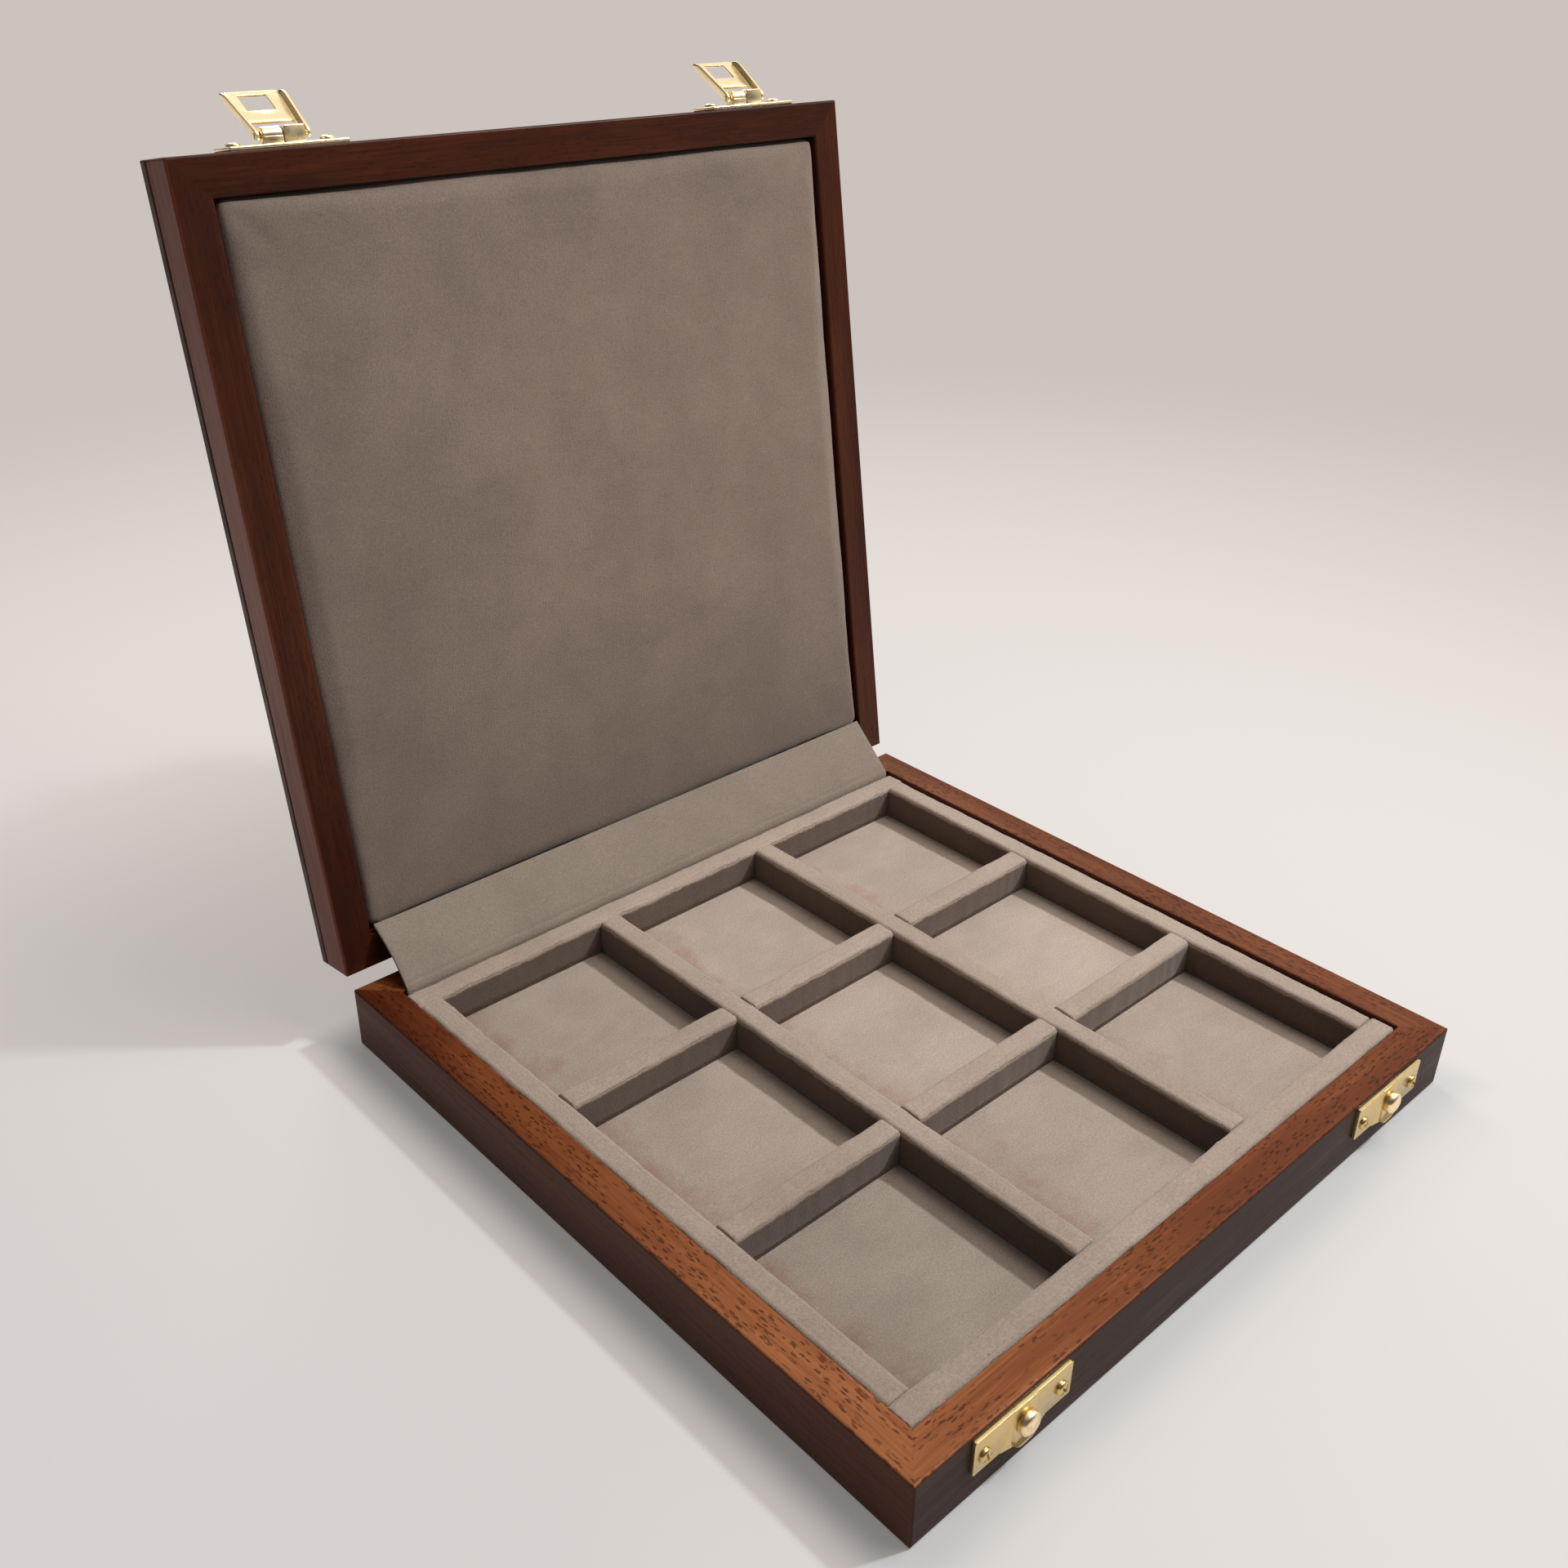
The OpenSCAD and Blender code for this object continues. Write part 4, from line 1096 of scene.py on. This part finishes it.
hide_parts("hinge_cover", "cover_hem")
report(cover)

# %% [markdown]
# ## Brass
# The catches are pressed from polished brass sheet. Clean brass is a bright, pale gold metal,
# and what shows its shape is how blurred or sharp its reflections are. One group gives soft
# rubbed clouds, fine wiping scratches and a few darker, tarnished spots, as a colour, a
# roughness and a height. It serves the new pieces and the CAD hinges, pins and plates alike.

# %% Build the brass group
TARNISHED = (0.50, 0.36, 0.15, 1)
marks, given, out = new_group(
    "rubbed_brass", (("Vector", VECTOR), ("Clean", COLOUR), ("Tarnished", COLOUR)),
    (("Color", COLOUR), ("Roughness", FLOAT), ("Height", FLOAT)))
place = given["Vector"]
clouds = noise_of(marks, place, 160, 3)
spots = noise_of(marks, place, 900, 2)
lines = stretched(marks, place, (300, 4200, 4200), (0, 0, 25))
wiped = noise_of(marks, lines, 1, 2)
dulled = maths(marks, "MULTIPLY", ranged(marks, clouds, 0.45, 0.75),
               ranged(marks, spots, 0.45, 0.7))
dulled = maths(marks, "MULTIPLY", dulled, 0.6)
join(marks, mix_colour(marks, dulled, given["Clean"], given["Tarnished"]), out["Color"])
blurred = ranged(marks, clouds, 0.3, 0.7, 0.16, 0.30)
blurred = maths(marks, "ADD", blurred, maths(marks, "MULTIPLY", wiped, 0.08))
join(marks, blurred, out["Roughness"])
join(marks, maths(marks, "ADD", clouds, maths(marks, "MULTIPLY", wiped, 0.12)), out["Height"])


def brass(name, *clean):
    material, tree, shader = new_material(name)
    shader.inputs["Metallic"].default_value = 1.0
    metal = grouped(tree, marks, Vector=object_place(tree), Clean=(*clean, 1), Tarnished=TARNISHED)
    join(tree, metal["Color"], shader.inputs["Base Color"])
    join(tree, metal["Roughness"], shader.inputs["Roughness"])
    bumped(tree, shader, metal["Height"], 0.16, 0.08 * MM)
    return material


# One brass in three tones: the catch plates and their screws are painted darker, as painted shade,
# and the hasps, their plates and screws and the studs paler, as painted light.
catch_brass = brass("catch_brass", 0.66, 0.49, 0.23)
hasp_brass = brass("hasp_brass", 0.97, 0.80, 0.50)
hinge_brass = brass("hinge_brass", 0.80, 0.62, 0.32)
for name, part in nodes.items():
    if name.startswith("hinge_") and name != "hinge_cover":
        paint(part, hinge_brass)
    elif name.startswith(("catch_", "hasp_")):
        paint(part, hasp_brass)
print("brass parts kept from CAD:", sum(1 for p in nodes.values() if p.data.materials
                                         and p.data.materials[0] in (hinge_brass, hasp_brass)))

# %% [markdown]
# ## Card
# The tray and the cushion are built up on grey card, of which only an edge could ever show. A
# mottled colour is enough, so its material is written out once, with no group.

# %% Mix the card
card, tree, shader = new_material("grey_card")
mottled = noise_of(tree, object_place(tree), 700, 4, 0.7)
join(tree, mix_colour(tree, ranged(tree, mottled, 0.3, 0.7),
                      (0.26, 0.22, 0.18, 1), (0.36, 0.32, 0.27, 1)), shader.inputs["Base Color"])
join(tree, ranged(tree, mottled, 0, 1, 0.80, 0.95), shader.inputs["Roughness"])
CARD_PARTS = ("tray_card", "lid_pad_card")
for name in CARD_PARTS:
    paint(nodes[name], card)
print("card on", " and ".join(CARD_PARTS))

# %% [markdown]
# ## Screws and studs
# Both are turned shapes. A turned shape starts as a filled circle, which is extruded ring by
# ring along its axis, and each new ring is resized about its own middle. One screw head is made
# so, and crossed slots are cut in it with a Boolean.

# %% Helpers for turned and joined shapes
def turned(name, rings, segments=32):
    """A turned shape about Z from (height, radius) rings in mm, starting at the first."""
    rings = [(h * MM, r * MM) for h, r in rings]
    height, radius = rings[0]
    deselect()
    bpy.ops.mesh.primitive_circle_add(vertices=segments, radius=radius, fill_type="NGON",
                                      location=(0, 0, height))
    piece = settle(newest(name))
    edit_mode("FACE")
    bpy.ops.mesh.select_all(action="SELECT")
    for next_height, next_radius in rings[1:]:
        extrude(z=next_height - height)
        share = next_radius / radius
        bpy.ops.transform.resize(value=(share, share, 1), center_override=(0, 0, next_height))
        height, radius = next_height, next_radius
    bpy.ops.mesh.select_all(action="SELECT")
    bpy.ops.mesh.remove_doubles(threshold=1e-6)
    face_outwards()
    return piece


def carve(piece, tool):
    """Cuts tool out of piece and removes the tool."""
    modify(piece, "BOOLEAN", operation="DIFFERENCE", solver="EXACT", object=tool)
    bpy.data.objects.remove(tool)


def join_pieces(name, pieces):
    deselect()
    for piece in pieces:
        piece.select_set(True)
    bpy.context.view_layer.objects.active = pieces[0]
    bpy.ops.object.join()
    return newest(name)


# %% Turn one screw head and one stud
SCREW_RINGS = ((-0.3, 2.05), (0.12, 2.15), (0.40, 2.15), (0.75, 1.98), (1.0, 1.6),
               (1.16, 1.0), (1.22, 0.5))
STUD_RINGS = ((-0.3, 2.7), (0.25, 2.75), (0.5, 3.1), (0.8, 3.42), (1.1, 3.5), (1.9, 3.5),
              (2.4, 3.35), (2.8, 3.0), (3.1, 2.4), (3.28, 1.6), (3.35, 0.7))
screw = turned("screw_head", SCREW_RINGS)
for turn in (0, 90):
    slot = cube_between("slot_cutter", Vector((-1.5, -0.33, 0.5)) * MM,
                        Vector((1.5, 0.33, 2.0)) * MM)
    slot.rotation_euler.z = math.radians(turn)
    carve(screw, settle(slot))
round_edges(screw, 0.05 * MM, 2, 45)
report(screw)
stud = turned("stud_shape", STUD_RINGS, 40)
report(stud)

# %% [markdown]
# ## Setting the screws and studs
# The screw head is copied to its eight places. Each copy has its own mesh and its own turn,
# because no two screws are left at the same angle. Those that ride on one body are joined.

# %% Set the screws and studs
PLATE_FACE = -126.2 * MM
CATCH_X = sum(corner.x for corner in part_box("catch_plate_left")) / 2
SIDES = ((CATCH_X, "left"), (-CATCH_X, "right"))
SCREW_X, BASE_SCREW_Z, LID_SCREW_Z, STUD_Z = 14.4 * MM, 14.0 * MM, 30.3 * MM, 14.7 * MM
OUTWARD = Matrix.Rotation(math.radians(90), 4, "X")
turns = iter((17, -28, 40, 8, -12, 33, -40, 22))
base_heads, lid_heads = [], []
for middle, label in SIDES:
    for shift in (-SCREW_X, SCREW_X):
        for z, heads in ((BASE_SCREW_Z, base_heads), (LID_SCREW_Z, lid_heads)):
            matrix = (Matrix.Translation((middle + shift, PLATE_FACE, z)) @ OUTWARD
                      @ Matrix.Rotation(math.radians(next(turns)), 4, "Z"))
            if heads is lid_heads:
                matrix = TO_OPEN @ matrix
            heads.append(copy_to(screw, "head", matrix))
studs = [copy_to(stud, "catch_button_" + label,
                 Matrix.Translation((middle, PLATE_FACE, STUD_Z)) @ OUTWARD)
         for middle, label in SIDES]
for pattern in (screw, stud):
    bpy.data.objects.remove(pattern)
for piece, body, stands_for, metal in (
        (join_pieces("catch_screw_heads", base_heads), "base", "catch_screws", catch_brass),
        (join_pieces("hasp_screw_heads", lid_heads), "lid", "hasp_screws", hasp_brass),
        (studs[0], "base", "catch_stud_left", hasp_brass),
        (studs[1], "base", "catch_stud_right", hasp_brass)):
    smooth(piece, 38)
    finish(piece, metal, body, stands_for)

# %% [markdown]
# ## Catch plates
# Each plate is a flat strip with a round lobe under the stud. The lobe is grown from the middle
# of the strip's lower edge, extruded in short steps and narrowed along a circle. Two slanting
# bends lift the part around the stud a little. Rounded edges catch a bright line of light.

# %% Press the catch plates
LOBE_R, LOBE_Z = 6.3 * MM, 13.8 * MM
LOBE_STEPS = (9.0, 8.65, 8.35, 8.1, 7.9, 7.77, 7.71)
STRIP_HIGH, STRIP_ABOVE = 11 * MM, 0.4 * MM
BEND_X, BEND_WIDE, BEND_SLANT = 6.6 * MM, 0.5 * MM, 0.35
PLATE_RISE, LOBE_LIFT, LOBE_EASE = 0.22 * MM, 1.3 * MM, 1.2 * MM


def lobe_half(z):
    return math.sqrt(max(1e-9, LOBE_R ** 2 - (z - LOBE_Z) ** 2))


def across_sheet(e):
    """True for an edge that runs through the thickness of the sheet."""
    return abs(e.verts[0].co.y - e.verts[1].co.y) > 0.5 * MM


def catch_plate(name, low, high):
    middle, bottom = (low.x + high.x) / 2, high.z - STRIP_HIGH
    piece = cube_between(name, Vector((low.x, low.y, bottom)), high + Vector((0, 0, STRIP_ABOVE)))
    edit_mode("FACE")
    for side in (-1, 1):
        cut((middle + side * lobe_half(bottom), 0, 0), (1, 0, 0))
    pick("faces", lambda f: abs(f.normal.z + 1) < 1e-3
         and abs(f.calc_center_median().x - middle) < MM)
    at = bottom
    for z in LOBE_STEPS:
        z *= MM
        share = lobe_half(z) / lobe_half(at)
        extrude(z=z - at)
        bpy.ops.transform.resize(value=(share, 1, 1), center_override=(middle, 0, z))
        at = z
    edit_mode("EDGE")
    pick("edges", lambda e: across_sheet(e) and all(
        abs(v.co.z - bottom) < 1e-6 and abs(abs(v.co.x - middle) - lobe_half(bottom)) < 1e-5
        for v in e.verts))
    bpy.ops.mesh.bevel(offset=0.9 * MM, segments=4)
    pick("edges", lambda e: across_sheet(e)
         and all(abs(v.co.x - middle) > 18 * MM for v in e.verts))
    bpy.ops.mesh.bevel(offset=0.7 * MM, segments=4)
    for side in (-1, 1):
        for bend in (BEND_X, BEND_X + BEND_WIDE):
            cut((middle + side * bend, 0, LOBE_Z), (1, 0, side * BEND_SLANT))
    face_outwards()
    for v in piece.data.vertices:
        x = v.co.x - middle
        away = abs(x + math.copysign(BEND_SLANT, x) * (v.co.z - LOBE_Z))
        if v.co.y < low.y + 0.1 * MM and away < BEND_X + 0.1 * MM:
            v.co.y -= PLATE_RISE
        if abs(x) < BEND_X and v.co.z < bottom + 1e-6:
            v.co.y -= LOBE_LIFT * min(1.0, (bottom - v.co.z) / LOBE_EASE + 0.45)
    round_edges(piece, 0.26 * MM, 3, 50)
    smooth(piece, 32)
    return piece


for middle, label in SIDES:
    plate = "catch_plate_" + label
    finish(catch_plate("pressed_" + plate, *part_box(plate)), catch_brass, "base", plate)

# %% [markdown]
# ## Hasp plates
# On the lid, each plate carries a barrel in two halves, one round and one square. The plate and
# the square half are bevelled blocks, and the round half is a turned shape on a small web, with
# the pin's hole at its end. They are made with the lid shut and turned open with it.

# %% Build the hasp plates
BARREL_R, BARREL_HALF, BARREL_SLIT = 2.3 * MM, 6.4 * MM, 0.4 * MM
BARREL_RINGS = ((0, 2.1), (0.2, 2.3), (5.8, 2.3), (6.0, 2.1), (6.0, 1.05), (4.8, 1.0))
HASP_PIN_SHUT = Vector((0, -128.5, 29.4)) * MM
ALONG_X = Matrix.Rotation(math.radians(-90), 4, "Y")


def rounded_block(name, low, high, radius):
    piece = cube_between(name, Vector(low), Vector(high))
    modify(piece, "BEVEL", width=radius, segments=3, limit_method="NONE")
    return piece


for middle, label in SIDES:
    pin = HASP_PIN_SHUT + Vector((middle, 0, 0))
    plate = rounded_block("plate", (middle - 18.3 * MM, PLATE_FACE, 24.0 * MM),
                          (middle + 18.3 * MM, -125 * MM, 35.0 * MM), 0.38 * MM)
    square = rounded_block("square", pin + Vector((0, -BARREL_R, -BARREL_R)),
                           pin + Vector((BARREL_HALF, BARREL_R, BARREL_R)), 0.25 * MM)
    web = rounded_block("web", pin + Vector((-BARREL_HALF + 0.2 * MM, 0.3 * MM, -BARREL_R)),
                        pin + Vector((-BARREL_SLIT, BARREL_R, BARREL_R)), 0.15 * MM)
    tube = turned("tube", BARREL_RINGS, 40)
    tube.matrix_world = Matrix.Translation(pin - Vector((BARREL_SLIT, 0, 0))) @ ALONG_X
    settle(tube)
    piece = join_pieces("barrelled_hasp_plate_" + label, [plate, square, web, tube])
    swing_open(piece)
    smooth(piece, 35)
    finish(piece, hasp_brass, "lid", "hasp_plate_" + label)

# %% [markdown]
# ## Hasps
# A hasp is one piece of sheet: a tongue with a window for the stud and folded sides that carry
# the pin. It is made hanging shut, pin at the origin and box at +Y. A plane is cut into a grid,
# the window and the slot for the barrel are taken out, the sides are extruded towards the box
# and shaped so that they die away at the tip, and Solidify and Bevel turn it into rounded metal.

# %% Measure the hasp
HASP_OPEN = 140
HASP_LONG, HASP_HALF, HASP_FLARE = 19.4 * MM, 7.85 * MM, 1.5 * MM
HASP_CUTS_Z = (1.5, 3.0, 4.6, 6.2, 8.6, 11.0, 13.0, 15.0, 16.0, 17.0, 17.8, 18.4, 18.9, 19.2)
HASP_CUTS_X = (-6.9, -4.4, 0, 4.4, 6.9)
SHEET_Y, SHEET_THICK = -0.75 * MM, 0.85 * MM
SIDE_DEEP, SIDE_UNTIL, SIDE_FADE = 2.65 * MM, 14.2 * MM, 4.6 * MM
TIP_ROUND = 2.2 * MM
# how far each step of the pin's ears rises, and how much of its depth it keeps
EAR_STEPS = ((1.0, 0.84), (0.6, 0.55), (0.3, 0.35))


def hasp_half(u):
    """Half the hasp's width at distance u from the pin. It flares a little."""
    return HASP_HALF + HASP_FLARE * u / HASP_LONG


def tip_inset(u):
    """How far the rounded tip corners lie inside the straight side at distance u."""
    over = max(0.0, u - (HASP_LONG - TIP_ROUND)) / TIP_ROUND
    return TIP_ROUND * (1 - math.sqrt(max(0.0, 1 - over * over)))


def side_depth(u):
    """The folded side keeps its depth and then curves down to nothing near the tip."""
    over = max(0.0, (u - SIDE_UNTIL) / SIDE_FADE)
    return SIDE_DEEP * math.sqrt(max(0.01, 1 - over * over))


def at_side(v):
    return abs(v.co.x) > hasp_half(0) - 1e-6


print("hasp:", round(HASP_LONG / MM, 1), "mm long,", round(2 * hasp_half(0) / MM, 1),
      "mm wide at the pin and", round(2 * hasp_half(HASP_LONG) / MM, 1), "mm near the tip")

# %% Cut the sheet and fold its sides
deselect()
bpy.ops.mesh.primitive_plane_add(size=1, rotation=(math.radians(90), 0, 0),
                                 location=(0, SHEET_Y, -HASP_LONG / 2))
hasp = newest("hasp_shape")
hasp.scale = (2 * hasp_half(0), HASP_LONG, 1)
settle(hasp)
edit_mode("FACE")
for z in HASP_CUTS_Z:
    cut((0, 0, -z * MM), (0, 0, 1))
for x in HASP_CUTS_X:
    cut((x * MM, 0, 0), (1, 0, 0))


def in_window_or_slot(face):
    x, u = abs(face.calc_center_median().x) / MM, -face.calc_center_median().z / MM
    return (x < 4.4 and 11.0 < u < 17.8) or (x < 6.9 and u < 6.2)


pick("faces", in_window_or_slot)
bpy.ops.mesh.delete(type="FACE")
edit_mode("EDGE")
pick("edges", lambda e: all(at_side(v) and -v.co.z < 18.5 * MM for v in e.verts))
extrude(y=SIDE_DEEP)
pick("edges", lambda e: all(at_side(v) and abs(v.co.z) < 1e-6 for v in e.verts))
for rise, kept in EAR_STEPS:
    extrude(z=rise * MM)
    bpy.ops.transform.resize(value=(1, kept, 1), center_override=(0, 0.2 * MM, 0))
object_mode()
for v in hasp.data.vertices:
    if at_side(v):
        u = max(0.0, -v.co.z)
        if v.co.y > SHEET_Y + 1e-5 and v.co.z < 1e-6:
            v.co.y = SHEET_Y + side_depth(u)
        v.co.x = math.copysign(hasp_half(u) - tip_inset(u), v.co.x)
report(hasp)

# %% Round the fold and thicken the sheet
edit_mode("EDGE")
pick("edges", lambda e: all(abs(v.co.y - SHEET_Y) < 1e-6 and abs(v.co.x) > 7.2 * MM
                            and -18.45 * MM < v.co.z < 1e-6 for v in e.verts)
     and abs(e.verts[0].co.z - e.verts[1].co.z) > 0.2 * MM)
bpy.ops.mesh.bevel(offset=0.6 * MM, segments=3)
face_outwards()
modify(hasp, "SOLIDIFY", thickness=SHEET_THICK, offset=0, use_even_offset=True)
round_edges(hasp, 0.2 * MM, 2, 50)
edit_mode("FACE")
face_outwards()
for middle, label in SIDES:
    matrix = (TO_OPEN @ Matrix.Translation(HASP_PIN_SHUT + Vector((middle, 0, 0)))
              @ Matrix.Rotation(math.radians(-HASP_OPEN), 4, "X"))
    piece = copy_to(hasp, "folded_hasp_" + label, matrix)
    smooth(piece, 35)
    finish(piece, hasp_brass, "hasp_" + label, "hasp_" + label)
bpy.data.objects.remove(hasp)

# %% Finish
for name, part in nodes.items():
    if not part.data.materials or part.data.materials[0] is None:
        print("no material yet:", name)
